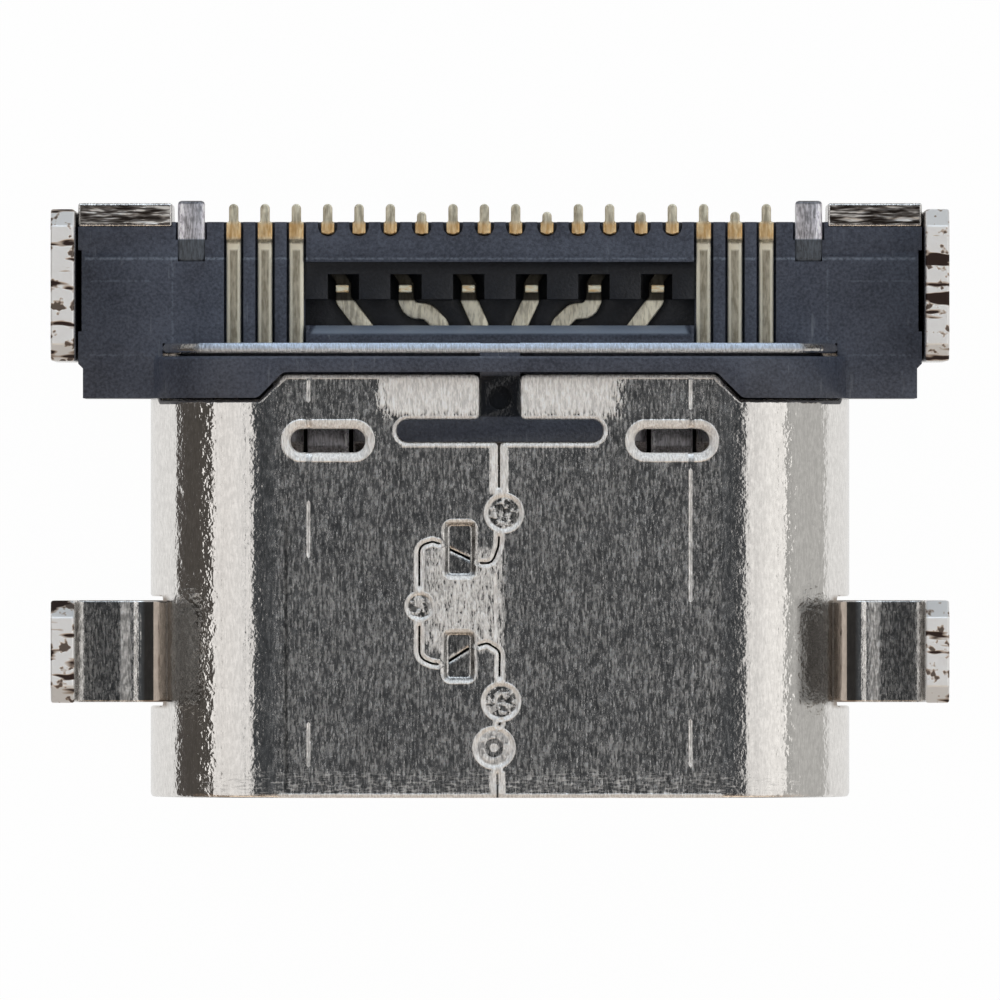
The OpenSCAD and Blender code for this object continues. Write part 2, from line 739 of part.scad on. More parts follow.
// the collar's thickness from its axis out, against its length, with the rear edge rounded
module collar_profile() {
    l = collar_rear - block_y + eps;
    translate([0, block_y - eps]) {
        square([collar_r - collar_round, l]);
        square([collar_r, l - collar_round]);
        translate([collar_r - collar_round, l - collar_round]) circle(collar_round);
    }
}

// collar over the shell's rear end; its front edge steps back between the shell's shoulders
module collar() {
    step_y = block_y + collar_step;
    step_x = collar_step_x + collar_step;
    r = collar_step_r;
    t = r * tan(22.5);
    right = concat(arc([collar_step_x - t, step_y - r], r, 90, 45, 4),
                   arc([step_x + t, block_y + r], r, 225, 270, 4));
    left = [for (i = [len(right) - 1 : -1 : 0]) [-right[i].x, right[i].y]];
    intersection() {
        union() {
            for (s = [-1, 1]) translate([s * shell_cx, 0, 0])
                rotate([-90, 0, 0]) rotate_extrude() collar_profile();
            along_x(-shell_cx, 2 * shell_cx) mirror([1, -1, 0]) collar_profile();
        }
        linear_extrude(big) polygon(concat([[-shell_w, block_y]], left, right, [
            [shell_w, block_y], [shell_w, collar_rear + 1], [-shell_w, collar_rear + 1]]));
    }
}

// what closes the tube over the block
module plug() {
    intersection() {
        along_y(cavity_l, tube_l - cavity_l) stadium(bore_r);
        translate([-big / 2, 0, 0]) cube(big);
    }
}

module housing() {
    color("#1c2230") difference() {
        union() {
            difference() {
                union() {
                    block();
                    collar();
                }
                along_y(0, cavity_l) stadium(bore_r);
            }
            plug();
            translate([0, 0, bore_r]) linear_extrude(sheet_t) tee();
        }
        translate([0, block_y, shell_r - pin_d]) cylinder(r = pin_r, h = 1);
        shell();
        near_wafer_body();
        far_wafer_body();
        all_contacts();
        mid_plate();
    }
}

shell();
housing();
tongue();
mid_plate();
near_wafer();
far_wafer();
near_ground_plate();
far_ground_plate();
for (i = [1 : near_n]) near_contact(i);
for (i = [1 : far_n]) far_contact(i);
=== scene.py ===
import math

import bmesh
import bpy
from mathutils import Matrix, Vector
from mathutils.geometry import delaunay_2d_cdt


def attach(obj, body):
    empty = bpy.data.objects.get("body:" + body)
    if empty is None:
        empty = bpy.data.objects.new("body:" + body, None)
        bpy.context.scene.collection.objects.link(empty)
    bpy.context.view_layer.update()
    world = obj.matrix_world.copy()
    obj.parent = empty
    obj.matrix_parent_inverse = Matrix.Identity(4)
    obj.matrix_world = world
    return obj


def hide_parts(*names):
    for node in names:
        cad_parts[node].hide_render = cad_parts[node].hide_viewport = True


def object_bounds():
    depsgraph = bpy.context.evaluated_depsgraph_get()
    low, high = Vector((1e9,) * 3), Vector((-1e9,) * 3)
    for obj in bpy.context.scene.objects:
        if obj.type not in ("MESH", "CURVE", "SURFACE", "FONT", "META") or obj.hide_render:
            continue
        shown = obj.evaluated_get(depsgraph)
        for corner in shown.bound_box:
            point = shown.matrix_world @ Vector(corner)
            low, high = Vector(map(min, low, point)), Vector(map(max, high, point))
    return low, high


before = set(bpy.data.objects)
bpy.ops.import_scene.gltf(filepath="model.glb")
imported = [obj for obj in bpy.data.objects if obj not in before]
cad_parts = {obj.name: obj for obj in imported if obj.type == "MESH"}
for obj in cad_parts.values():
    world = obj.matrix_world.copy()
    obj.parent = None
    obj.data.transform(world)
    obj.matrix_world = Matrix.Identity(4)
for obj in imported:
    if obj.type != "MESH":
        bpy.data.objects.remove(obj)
cad_lo, cad_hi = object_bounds()

# ---- Camera, floor and light ----
# The socket lies on its far side on a white card, and the camera looks straight down on its board
# side from far off. Long soft boxes stand left and right, with a cool one behind and a warm one in
# front, and overhead stays dark, so flat metal shows grey and rounded metal shows bright bands.
MM = 0.001
rest_z = cad_lo.z
scene = bpy.context.scene
scene.view_settings.view_transform = "Standard"

# the view's width and middle, at a height above the tube's axis
view_w, view_y, view_z = 12.76 * MM, 3.79 * MM, 0.8 * MM
camera_z, sensor_w = 0.25, 36
camera = bpy.data.objects.new("camera", bpy.data.cameras.new("camera"))
camera.data.sensor_width = sensor_w
camera.data.lens = sensor_w * camera_z / view_w
camera.data.clip_start = 0.01
camera.location = (0, view_y, camera_z + view_z)
scene.collection.objects.link(camera)
scene.camera = camera


def node_adder(tree):
    """A function that adds a node to a tree, with its settings, and its inputs as values or as links."""

    def add(kind, inputs=(), **settings):
        node = tree.nodes.new(kind)
        for key, value in settings.items():
            setattr(node, key, value)
        for key, value in dict(inputs).items():
            if isinstance(value, bpy.types.NodeSocket):
                tree.links.new(value, node.inputs[key])
            else:
                node.inputs[key].default_value = value
        return node

    return add


def emptied(owner):
    """Clears the nodes of a material or a world and returns the function that adds new ones."""
    owner.use_nodes = True
    owner.node_tree.nodes.clear()
    return node_adder(owner.node_tree)


def ramp(add, value, stops):
    """A colour ramp over a value, from stops of (place, colour)."""
    node = add("ShaderNodeValToRGB", {"Fac": value})
    band = node.color_ramp
    for i, (place, colour) in enumerate(stops):
        stop = band.elements[i] if i < 2 else band.elements.new(place)
        stop.position = place
        stop.color = (*colour, 1)
    return node.outputs["Color"]


def sharpen(add, value, low, high, dark=0.0, light=1.0):
    """Stretches the part of a value between two levels."""
    node = add("ShaderNodeMapRange", {"Value": value, "From Min": low, "From Max": high,
                                      "To Min": dark, "To Max": light})
    return node.outputs[0]


def mix_colour(add, mask, a, b, blend="MIX"):
    """A colour that is a outside a mask and b inside it, or a with b added to it there."""
    a, b = ((*colour, 1) if isinstance(colour, tuple) else colour for colour in (a, b))
    mix = add("ShaderNodeMix", {0: mask, 6: a, 7: b}, data_type="RGBA", blend_type=blend)
    return mix.outputs["Result"]


# the card is white round the part and ends in a dark room on the left and a grey one on the right
card = bpy.data.meshes.new("floor")
card.from_pydata([(-1, -1, 0), (1, -1, 0), (1, 1, 0), (-1, 1, 0)], [], [(0, 1, 2, 3)])
floor = bpy.data.objects.new("floor", card)
floor.location.z = rest_z
scene.collection.objects.link(floor)
floor_material = bpy.data.materials.new("floor")
add = emptied(floor_material)
seen = add("ShaderNodeLightPath")
spot = add("ShaderNodeTexCoord")
middle = add("ShaderNodeVectorMath", {0: spot.outputs["Object"], 1: (0.0015, -view_y, 0)}, operation="ADD")
away = add("ShaderNodeVectorMath", {0: middle.outputs[0]}, operation="LENGTH")
far = sharpen(add, away.outputs["Value"], 0.0108, 0.0128)
axes = add("ShaderNodeSeparateXYZ", {0: middle.outputs[0]})
across = sharpen(add, axes.outputs["X"], -0.02, 0.02)
room = ramp(add, across, [(0.2, (0.08, 0.072, 0.066)), (0.8, (0.47, 0.465, 0.45))])
card_seen = mix_colour(add, far, (0.8, 0.795, 0.785), room)
mirrored = add("ShaderNodeEmission", {"Color": card_seen, "Strength": 1.0})
paper = add("ShaderNodeBsdfDiffuse", {"Color": (0.8, 0.8, 0.8, 1)})
white = add("ShaderNodeEmission", {"Color": (1, 1, 1, 1), "Strength": 1.0})
lift = add("ShaderNodeMath", {0: seen.outputs["Is Camera Ray"], 1: 0.98}, operation="MULTIPLY")
shown = add("ShaderNodeMixShader", {0: lift.outputs[0], 1: paper.outputs[0], 2: white.outputs[0]})
either = add("ShaderNodeMixShader", {0: seen.outputs["Is Glossy Ray"], 1: shown.outputs[0],
                                     2: mirrored.outputs[0]})
add("ShaderNodeOutputMaterial", {"Surface": either.outputs[0]})
card.materials.append(floor_material)

world = bpy.data.worlds.new("studio")
scene.world = world
add = emptied(world)
facing = add("ShaderNodeTexCoord")
axes = add("ShaderNodeSeparateXYZ", {0: facing.outputs["Generated"]})
sides = ramp(add, sharpen(add, axes.outputs["X"], -1, 1), [
    (0.08, (0.072, 0.065, 0.058)), (0.28, (0.062, 0.067, 0.073)), (0.62, (0.062, 0.067, 0.073)),
    (0.88, (0.47, 0.465, 0.45))])
ends = ramp(add, sharpen(add, axes.outputs["Y"], -1, 1), [
    (0.1, (0.2, 0.13, 0.08)), (0.35, (0, 0, 0)), (0.66, (0, 0, 0)), (0.9, (0.3, 0.36, 0.44))])
room = mix_colour(add, 1.0, sides, ends, blend="ADD")
back = add("ShaderNodeBackground", {"Color": room, "Strength": 1.0})
add("ShaderNodeOutputWorld", {"Surface": back.outputs[0]})


def soft_box(name, tilt, turn, width, length, glow, tint=(1, 1, 1)):
    """A rectangular lamp, tilt degrees off the vertical and turn degrees round, of a given brightness."""
    lamp = bpy.data.lights.new(name, "AREA")
    lamp.shape = "RECTANGLE"
    lamp.size, lamp.size_y = width, length
    # a lamp's watts are spread over four times its area
    lamp.energy = 4 * glow * width * length
    lamp.color = tint
    box = bpy.data.objects.new(name, lamp)
    t, a = math.radians(tilt), math.radians(turn)
    out = Vector((math.sin(t) * math.cos(a), math.sin(t) * math.sin(a), math.cos(t)))
    level = Vector((-math.sin(a), math.cos(a), 0))
    turned = Matrix((level.cross(out), level, out)).transposed().to_4x4()
    distance = 0.3
    box.matrix_world = Matrix.Translation(Vector((0, view_y, 0)) + out * distance) @ turned
    scene.collection.objects.link(box)


soft_box("left_box", 39, 180, 0.17, 0.5, 0.78, (1, 0.975, 0.95))
soft_box("right_box", 36, 0, 0.19, 0.5, 0.61, (1, 0.975, 0.95))
soft_box("back_box", 62, 90, 0.14, 0.4, 1.2, (0.86, 0.94, 1))
soft_box("front_box", 62, 270, 0.1, 0.4, 0.85, (1, 0.84, 0.66))

# ---- Shell ----
# The socket's shell is one piece of thin nickel-plated stainless steel. It is cut flat, rolled into a
# tube that closes on the board side in a dovetailed slit, and pressed shut in round spots. The wings
# are lanced out of its sides, and the rear legs and corner flaps are folded up from its rear plate.
sheet = 0.3
tube_r = -rest_z / MM
flat_half = 2.89
bend_run = math.pi * tube_r
half_run = 2 * flat_half + bend_run
tube_l = 5.79
lip_w, lip_d = 0.06, 0.04
# where the sheet bends, measured round the tube from its middle line
bend_lines = [flat_half + bend_run * k / 40 for k in range(41)]
bend_lines = [-u for u in bend_lines[::-1]] + bend_lines


def on_tube(u, v, depth=0.0):
    """Place, outward direction and direction round the tube, at u round it from its middle line."""
    side = 1 if u >= 0 else -1
    run = abs(u)
    if run <= flat_half:
        base, out = Vector((run, v, tube_r)), Vector((0, 0, 1))
    elif run < flat_half + bend_run:
        a = (run - flat_half) / tube_r
        out = Vector((math.sin(a), 0, math.cos(a)))
        base = Vector((flat_half, v, 0)) + out * tube_r
    else:
        base, out = Vector((half_run - run, v, -tube_r)), Vector((0, 0, -1))
    p = base - out * depth
    round_it = Vector((out.z, 0, -out.x))
    if side < 0:
        p.x, out.x, round_it.z = -p.x, -out.x, -round_it.z
    return p, out, round_it


def rounded(corners, closed=True, step=9):
    """Points of an outline of corners (x, y, radius), with an arc at each corner that has a radius."""
    points = []
    for i, (x, y, r) in enumerate(corners):
        p = Vector((x, y))
        if r == 0 or (not closed and i in (0, len(corners) - 1)):
            points.append(p)
            continue
        before = (Vector(corners[i - 1][:2]) - p).normalized()
        after = (Vector(corners[(i + 1) % len(corners)][:2]) - p).normalized()
        half = before.angle(after) / 2
        centre = p + (before + after).normalized() * (r / math.sin(half))
        start = p + before * (r / math.tan(half)) - centre
        end = p + after * (r / math.tan(half)) - centre
        a0 = math.atan2(start.y, start.x)
        turn = (math.atan2(end.y, end.x) - a0 + math.pi) % (2 * math.pi) - math.pi
        count = max(2, round(abs(math.degrees(turn)) / step))
        for k in range(count + 1):
            a = a0 + turn * k / count
            points.append(centre + r * Vector((math.cos(a), math.sin(a))))
    return points


def outline(points):
    """A closed outline, turned so that its left is inside, with the direction inwards at each point.

    Where it crosses the lines of the tube's bend it gets points of its own, so that it bends with them.
    """
    area = sum(a.cross(b) for a, b in zip(points, points[1:] + points[:1]))
    if area < 0:
        points = points[::-1]
    split = []
    for a, b in zip(points, points[1:] + points[:1]):
        split.append(a)
        low, high = min(a.x, b.x) + 1e-4, max(a.x, b.x) - 1e-4
        cuts = [a.lerp(b, (u - a.x) / (b.x - a.x)) for u in bend_lines if low < u < high]
        split += cuts if b.x > a.x else cuts[::-1]
    points = split
    result = []
    for i, p in enumerate(points):
        a = (p - points[i - 1]).normalized()
        b = (points[(i + 1) % len(points)] - p).normalized()
        left = Vector((-a.y, a.x))
        middle = left + Vector((-b.y, b.x))
        result.append((p, middle / middle.dot(left)))
    return result


def slit_outline(corners, width):
    """Outline of a narrow slit along a path, with round ends."""
    path = rounded(corners, closed=False)
    left, right = [], []
    for i, p in enumerate(path):
        a = (p - path[i - 1]).normalized() if i else (path[1] - p).normalized()
        b = (path[i + 1] - p).normalized() if i < len(path) - 1 else a
        side = (Vector((-a.y, a.x)) + Vector((-b.y, b.x))).normalized() * width / 2
        left.append(p + side)
        right.append(p - side)
    head = (path[-1] - path[-2]).normalized() * width / 2
    foot = (path[0] - path[1]).normalized() * width / 2
    return outline(left + [path[-1] + head] + right[::-1] + [path[0] + foot])


def lip(width, drop):
    """Edge rolled gently over and then cut: steps of (way into the hole, depth, lean of the surface)."""
    ways = [0, 0.12, 0.35, 0.55, 0.75, 0.9, 0.985, 1]
    leans = [0, 0.16, 0.26, 0.38, 0.52, 0.8, 1.25, math.pi / 2]
    steps = [(-width, 0.0, 0.0)]
    for k in range(1, 8):
        fall = (ways[k] - ways[k - 1]) * math.tan(min(1.4, (leans[k] + leans[k - 1]) / 2))
        steps.append((width * (ways[k] - 1), steps[-1][1] + fall, leans[k]))
    return [(way, depth * drop / steps[-1][1], lean) for way, depth, lean in steps]


def back_edge():
    """The last steps of a way through the sheet, round the edge on its inner side."""
    return [(way, sheet - depth, math.pi - lean) for way, depth, lean in lip(0.02, 0.02)[::-1]]


def through(width, drop):
    """The whole way through the sheet, with both its edges rounded."""
    return lip(width, drop) + back_edge()


def inside(p, loop):
    """Whether a point lies inside a closed outline."""
    odd = False
    for a, b in zip(loop, loop[1:] + loop[:1]):
        if (a.y > p.y) != (b.y > p.y) and p.x < a.x + (b.x - a.x) * (p.y - a.y) / (b.y - a.y):
            odd = not odd
    return odd


def vertex(bm, place, normal):
    """Adds a corner with the direction that its surface faces."""
    v = bm.verts.new(place)
    v[bm.verts.layers.float_vector["facing"]] = normal
    return v


def bridge(bm, a, b, closed=True, material=0):
    """Faces between two rows of corners."""
    n = len(a)
    for i in range(n if closed else n - 1):
        j = (i + 1) % n
        face = bm.faces.new((a[i], a[j], b[j], b[i]))
        face.material_index = material


def sink(bm, loop, steps):
    """Rows of corners that follow an outline down into the sheet. Returns each row's flat outline."""
    rows, flat = [], []
    for way, depth, lean in steps:
        row = []
        for p, inward in loop:
            q = p + inward * way
            place, out, round_it = on_tube(q.x, q.y, depth)
            towards = (round_it * inward.x + Vector((0, 1, 0)) * inward.y).normalized()
            row.append(vertex(bm, place, out * math.cos(lean) + towards * math.sin(lean)))
        rows.append(row)
        flat.append([p + inward * way for p, inward in loop])
    for a, b in zip(rows, rows[1:]):
        bridge(bm, a, b)
    return flat, rows


def fill(bm, border, holes, depth=0.0, lines=(), inner=False):
    """Fills the flat pattern between a border and the holes in it, and rolls it up."""
    points, edges = [], []
    for loop in [border] + holes:
        first = len(points)
        points += loop
        edges += [(first + i, first + (i + 1) % len(loop)) for i in range(len(loop))]
    for a, b in lines:
        edges.append((len(points), len(points) + 1))
        points += [a, b]
    places, _, faces = delaunay_2d_cdt(points, edges, [], 0, 1e-7)[:3]
    boxes = [(min(p.x for p in h), max(p.x for p in h), min(p.y for p in h), max(p.y for p in h), h)
             for h in holes]
    made = []
    for p in places:
        place, out, _ = on_tube(p.x, p.y, depth)
        made.append(vertex(bm, place, -out if inner else out))
    for face in faces:
        c = sum((places[i] for i in face), Vector((0, 0))) / 3
        if not inside(c, border):
            continue
        if any(x0 < c.x < x1 and y0 < c.y < y1 and inside(c, h) for x0, x1, y0, y1, h in boxes):
            continue
        bm.faces.new([made[i] for i in (face[::-1] if inner else face)])


def bent_strip(bm, path, across, width, thick, edge=0.03, widths=None):
    """A strip of sheet along a path, its width across, with rounded edges and sheared ends.

    Where it has widths of its own along the path, its last stretch is a sheared tip as well.
    """
    corner = 3
    section = []
    for sx, sz, a0 in ((1, 1, 0), (-1, 1, 90), (-1, -1, 180), (1, -1, 270)):
        for k in range(corner + 1):
            a = math.radians(a0 + 90 * k / corner)
            section.append((sx, sz, math.cos(a), math.sin(a)))
    rows = []

    def row(i, inset, ahead, lean):
        a = (path[i] - path[i - 1]).normalized() if i else (path[1] - path[0]).normalized()
        b = (path[i + 1] - path[i]).normalized() if i < len(path) - 1 else a
        along = (a + b).normalized()
        up = along.cross(across).normalized()
        grow = 1 / max(0.5, along.dot(a))
        w = (widths[i] if widths else width) / 2 - edge
        t = thick / 2 - edge
        r = edge - inset
        result = []
        for sx, sz, nx, nz in section:
            place = path[i] + along * ahead + across * (sx * w + r * nx) + up * ((sz * t + r * nz) * grow)
            out = across * nx + up * nz
            result.append(vertex(bm, place, (out * math.cos(lean) + along * math.sin(lean)).normalized()))
        rows.append(result)

    for k in range(3):
        t = math.pi / 2 * (1 - k / 2)
        row(0, edge * (1 - math.cos(t)), edge * (1 - math.sin(t)), -t)
    for i in range(1, len(path) - 1):
        row(i, 0, 0, 0)
    for k in range(3):
        t = math.pi / 2 * k / 2
        row(len(path) - 1, edge * (1 - math.cos(t)), edge * (math.sin(t) - 1), t)
    for i, (a, b) in enumerate(zip(rows, rows[1:])):
        bridge(bm, a, b, material=1 if widths and i >= len(rows) - 4 else 0)
    for end in (rows[0][::-1], rows[-1]):
        face = bm.faces.new(end)
        face.material_index = 1


def slab(bm, corners, low, high, edge=0.03):
    """A flat plate with rounded edges."""
    loop = outline(rounded(corners, step=15))
    rows = []
    for level, sign in ((low, -1), (high, 1)):
        for k in range(4):
            t = math.pi / 2 * (k / 3 if sign > 0 else 1 - k / 3)
            row = []
            for p, inward in loop:
                q = p + inward * edge * (1 - math.cos(t))
                z = level + sign * edge * (math.sin(t) - 1)
                out = -inward.normalized() * math.cos(t)
                row.append(vertex(bm, (q.x, q.y, z), Vector((out.x, out.y, sign * math.sin(t)))))
            rows.append(row)
    for a, b in zip(rows, rows[1:]):
        bridge(bm, a, b)
    bm.faces.new(rows[0][::-1])
    bm.faces.new(rows[-1])


def new_metal_mesh():
    """An empty mesh whose corners know the direction that the surface faces there."""
    bm = bmesh.new()
    bm.verts.layers.float_vector.new("facing")
    return bm


def make_piece(bm, name, materials, nodes):
    """Turns a mesh, drawn in millimetres, into a piece of the frame that stands for CAD nodes."""
    bmesh.ops.remove_doubles(bm, verts=bm.verts, dist=1e-5)
    bmesh.ops.scale(bm, vec=(MM, MM, MM), verts=bm.verts)
    mesh = bpy.data.meshes.new(name)
    bm.to_mesh(mesh)
    bm.free()
    normals = [tuple(Vector(d.vector).normalized()) for d in mesh.attributes["facing"].data]
    mesh.attributes.remove(mesh.attributes["facing"])
    mesh.shade_smooth()
    mesh.normals_split_custom_set_from_vertices(normals)
    for material in materials:
        mesh.materials.append(material)
    piece = bpy.data.objects.new(name, mesh)
    scene.collection.objects.link(piece)
    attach(piece, "root")
    if nodes:
        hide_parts(*nodes)


# T slot, windows and the openings that the wings leave
tee_y, tee_w, tee_bar, stem_w = 4.53, 2.62, 0.28, 0.51
window_x, window_y, window_l, window_w, window_rim = 2.19, 4.545, 0.95, 0.3, 0.11
wing_y, wing_w, seat_z, wing_root_r, cut_gap = 1.21, 1.3, 0.7, 0.39, 0.05
root_arm = tube_r + wing_root_r - 0.01
root_a = math.asin((seat_z + wing_root_r) / root_arm)
lance_top = flat_half + tube_r * (math.pi / 2 - root_a + math.radians(8))
lance_foot = flat_half + tube_r * (math.pi / 2 - root_a + math.radians(102))

# the T slot opens into the cut that the plastic collar fills; only a narrow rim is left behind it
tee_top = tee_y + tee_bar
step_y, front_y, collar_rear = 5.385, 5.07, 5.66
tee_side = [(tee_w / 2, tee_y, 0.135), (tee_w / 2, tee_top, 0.135), (stem_w / 2, tee_top, 0.07),
            (stem_w / 2, step_y, 0.09), (2.741, step_y, 0.05), (3.071, front_y, 0.05),
            (4.75, front_y, 0.05), (4.75, collar_rear, 0.05)]
slit_top = [(-0.025, tee_y, 0.07), (-0.025, 3.945, 0.011), (-0.001, 3.945, 0.011), (-0.001, tee_y, 0.07)]
tee_loop = outline(rounded([(-x, y, r) for x, y, r in tee_side[::-1]] + slit_top + tee_side))


def box_loop(x, y, w, l, r):
    """Outline of a box with rounded corners round a middle."""
    return outline(rounded([(x - w / 2, y - l / 2, r), (x + w / 2, y - l / 2, r),
                            (x + w / 2, y + l / 2, r), (x - w / 2, y + l / 2, r)]))


# the slit, piece by piece between the spots and pockets that cross it, as (x, y, corner radius)
slit_w = 0.024
slits = [
    [(-0.013, 3.32, 0), (-0.02, 3.2, 0.1), (-0.1, 2.98, 0.12), (-0.25, 2.99, 0)],
    [(-0.77, 3.235, 0), (-0.86, 3.26, 0.06), (-1.027, 3.21, 0.12), (-1.027, 2.7, 0)],
    [(-1.027, 2.18, 0), (-1.027, 1.78, 0.14), (-0.87, 1.71, 0.08), (-0.79, 1.7, 0)],
    [(-0.27, 1.94, 0), (-0.16, 1.97, 0.08), (0, 1.87, 0.12), (-0.008, 1.55, 0)],
    [(0.0, 0.955, 0), (-0.01, 0.93, 0)],
    [(-0.035, 0.3, 0), (-0.032, 0.17, 0)],
]
# where it is burnished shut beside the spots
slit_joints = [(-0.012, 3.91), (-0.008, 3.34), (-1.025, 2.67), (-1.025, 2.205), (0.0, 1.515),
               (-0.02, 0.94), (-0.04, 0.335)]
# pockets as (x, y, width, length) with the slit across each, and spots as (x, y, radius)
pockets = [(-0.51, 3.158, 0.38, 0.7), (-0.523, 1.806, 0.38, 0.63)]
pocket_slits = [[(-0.645, 3.165, 0), (-0.38, 3.04, 0)], [(-0.65, 1.74, 0), (-0.4, 1.9, 0)]]
pocket_depth = 0.07
spots = [(0.05, 3.624, 0.25), (-1.02, 2.437, 0.19), (0.013, 1.225, 0.25), (-0.077, 0.638, 0.27)]

bm = new_metal_mesh()
outer_holes, inner_holes = [], []


def cut(loop, steps):
    """Cuts an opening right through the sheet."""
    flat, _ = sink(bm, loop, steps)
    outer_holes.append(flat[0])
    inner_holes.append(flat[-1])


def press(loop, steps):
    """Presses a mark with a flat bottom into the sheet's outer side."""
    flat, rows = sink(bm, loop, steps)
    outer_holes.append(flat[0])
    bm.faces.new(rows[-1])


cut(tee_loop, through(0.062, 0.034))
for s in (-1, 1):
    # a window with its coined rim, and the opening that a wing leaves
    cut(box_loop(s * window_x, window_y, window_l, window_w, window_w / 2 - 0.005),
        lip(window_rim + 0.015, 0.09) + back_edge())
    cut(box_loop(s * (lance_top + lance_foot) / 2, wing_y + wing_w / 2,
                 lance_foot - lance_top, wing_w + 2 * cut_gap, 0.05), through(0.03, 0.03))
for path in slits:
    cut(slit_outline(path, slit_w), through(lip_w, lip_d))
for (x, y, w, l), path in zip(pockets, pocket_slits):
    # sloping sides, then a floor with a piece of the slit across it
    sides = [(-0.045, 0, 0), (-0.03, 0.004, 0.3), (-0.01, 0.013, 0.5), (0.012, 0.032, 0.75),
             (0.03, 0.052, 0.8), (0.045, 0.066, 0.4), (0.06, pocket_depth, 0)]
    flat, _ = sink(bm, box_loop(x, y, w, l, 0.09), sides)
    outer_holes.append(flat[0])
    sunk_lip = [(way, depth + pocket_depth, lean) for way, depth, lean in lip(0.05, 0.03)]
    slit_flat, _ = sink(bm, slit_outline(path, slit_w), sunk_lip + back_edge())
    inner_holes.append(slit_flat[-1])
    fill(bm, flat[-1], [slit_flat[0]], depth=pocket_depth)
for x, y, r in spots:
    ring = outline([Vector((x + r * math.cos(math.radians(a)), y + r * math.sin(math.radians(a))))
                    for a in range(0, 360, 6)])
    press(ring, [
        (-0.012, 0, 0), (0.0, 0.002, 0.2), (0.018, 0.007, 0.4), (0.034, 0.017, 0.62), (0.046, 0.024, 0.3),
        (0.056, 0.025, -0.15), (0.07, 0.023, -0.12), (r * 0.45, 0.02, 0), (r * 0.66, 0.02, 0.05),
        (r * 0.8, 0.022, 0.12), (r * 0.95, 0.024, 0.05)])

# shallow lines that the rolling tool left on both sides and beside the slit, as (x, start, end)
scores = [(-2.437, 5.05, 5.3), (-2.437, 3.075, 3.76), (-2.437, 0.41, 0.94),
          (2.424, 4.96, 5.32), (2.424, 2.51, 4.17), (2.424, 0.41, 0.98), (-0.055, 2.0, 2.84)]
for x, low, high in scores:
    press(slit_outline([(x, low, 0), (x, high, 0)], 0.036),
          [(-0.006, 0, 0), (0.0, 0.002, 0.35), (0.008, 0.007, 0.3), (0.015, 0.009, 0.1)])

# the tube's two surfaces, then its front and rear edges
runs = [-half_run] + bend_lines + [half_run]
for depth, holes, turned in ((0.0, outer_holes, False), (sheet, inner_holes, True)):
    inset = 0.02 if turned else lip_w
    border = [Vector((u, inset)) for u in runs] + [Vector((u, tube_l - inset)) for u in runs[::-1]]
    bends = [(Vector((u, inset)), Vector((u, tube_l - inset))) for u in runs[1:-1]]
    fill(bm, border, holes, depth, bends, inner=turned)
for v, sign in ((0.0, -1), (tube_l, 1)):
    rows = []
    for way, depth, lean in through(lip_w, 0.035):
        row = []
        for u in runs:
            place, out, _ = on_tube(u, min(max(v + sign * way, 0), tube_l), depth)
            row.append(vertex(bm, place, out * math.cos(lean) + Vector((0, sign, 0)) * math.sin(lean)))
        rows.append(row)
    for a, b in zip(rows, rows[1:]):
        bridge(bm, *((a, b) if sign > 0 else (b, a)), closed=False)
# the rim behind the collar is rolled up a little over the filling of the T slot
for v in bm.verts:
    if v.co.y > collar_rear - 0.1 and v.co.z > 1.2:
        v.co.z += 0.02

# wings, rear legs and corner flaps
leg_x, leg_top, leg_tip, fold_r = cad_hi.x / MM, cad_hi.z / MM, 0.2, 0.2
leg_in = leg_x - sheet
leg_mid = leg_x - sheet / 2
plate_z = rest_z / MM
rear_leg_y, rear_leg_w = 5.56, 1.93
flap_w, flap_y, flap_top = 1.2, 7.58, seat_z - 0.02
flap_x = leg_in - 0.03 - flap_w / 2
plate_front, plate_rear = tube_l + cut_gap, 7.34
# the crease where a wing goes over into its level part, as (across, rise)
crease = [(4.52, 0.016), (4.6, 0.016), (4.612, 0.013), (4.65, 0.001), (4.66, 0)]


def fold(start, end, top):
    """Side view of a strip that runs out in the rear plate's level and folds up, as (out, up)."""
    level = plate_z + sheet / 2
    return rounded([(start, level, 0), (end - sheet / 2, level, fold_r + sheet / 2),
                    (end - sheet / 2, top, 0)], closed=False)


def leg(side, path, y, width):
    """A strip that runs out to one side along a path and ends upwards in a narrowed, sheared tip."""
    path = path[:-1] + [(leg_mid, leg_top - leg_tip), path[-1]]
    points = [Vector((side * x, y + width / 2, z)) for x, z in path]
    widths = [width] * (len(points) - 1) + [width - 2 * leg_tip]
    bent_strip(bm, points, Vector((0, 1, 0)), width, sheet, widths=widths)


for s in (-1, 1):
    # the wing bends out of the tube's side, runs level past the crease and turns up; the bend is
    # drawn in twelfths, and the last two give way to the crease
    root_x = flat_half + root_arm * math.cos(root_a)
    path = []
    for k in range(11):
        a = math.pi + root_a - 0.1 + (math.pi / 2 - root_a + 0.1) * k / 12
        mid = wing_root_r + sheet / 2
        path.append((root_x + mid * math.cos(a), seat_z + wing_root_r + mid * math.sin(a)))
    level = seat_z - sheet / 2
    path += [(x, level + rise) for x, rise in crease]
    path += rounded([(crease[-1][0], level, 0), (leg_mid, level, 0.27), (leg_mid, leg_top, 0)],
                    closed=False)[1:]
    leg(s, path, wing_y, wing_w)
    leg(s, fold(leg_in - fold_r - 0.6, leg_x, leg_top), rear_leg_y, rear_leg_w)
    up = fold(flap_y - fold_r - 0.8, flap_y, flap_top)
    bent_strip(bm, [Vector((s * flap_x, p.x, p.y)) for p in up], Vector((1, 0, 0)), flap_w, sheet)
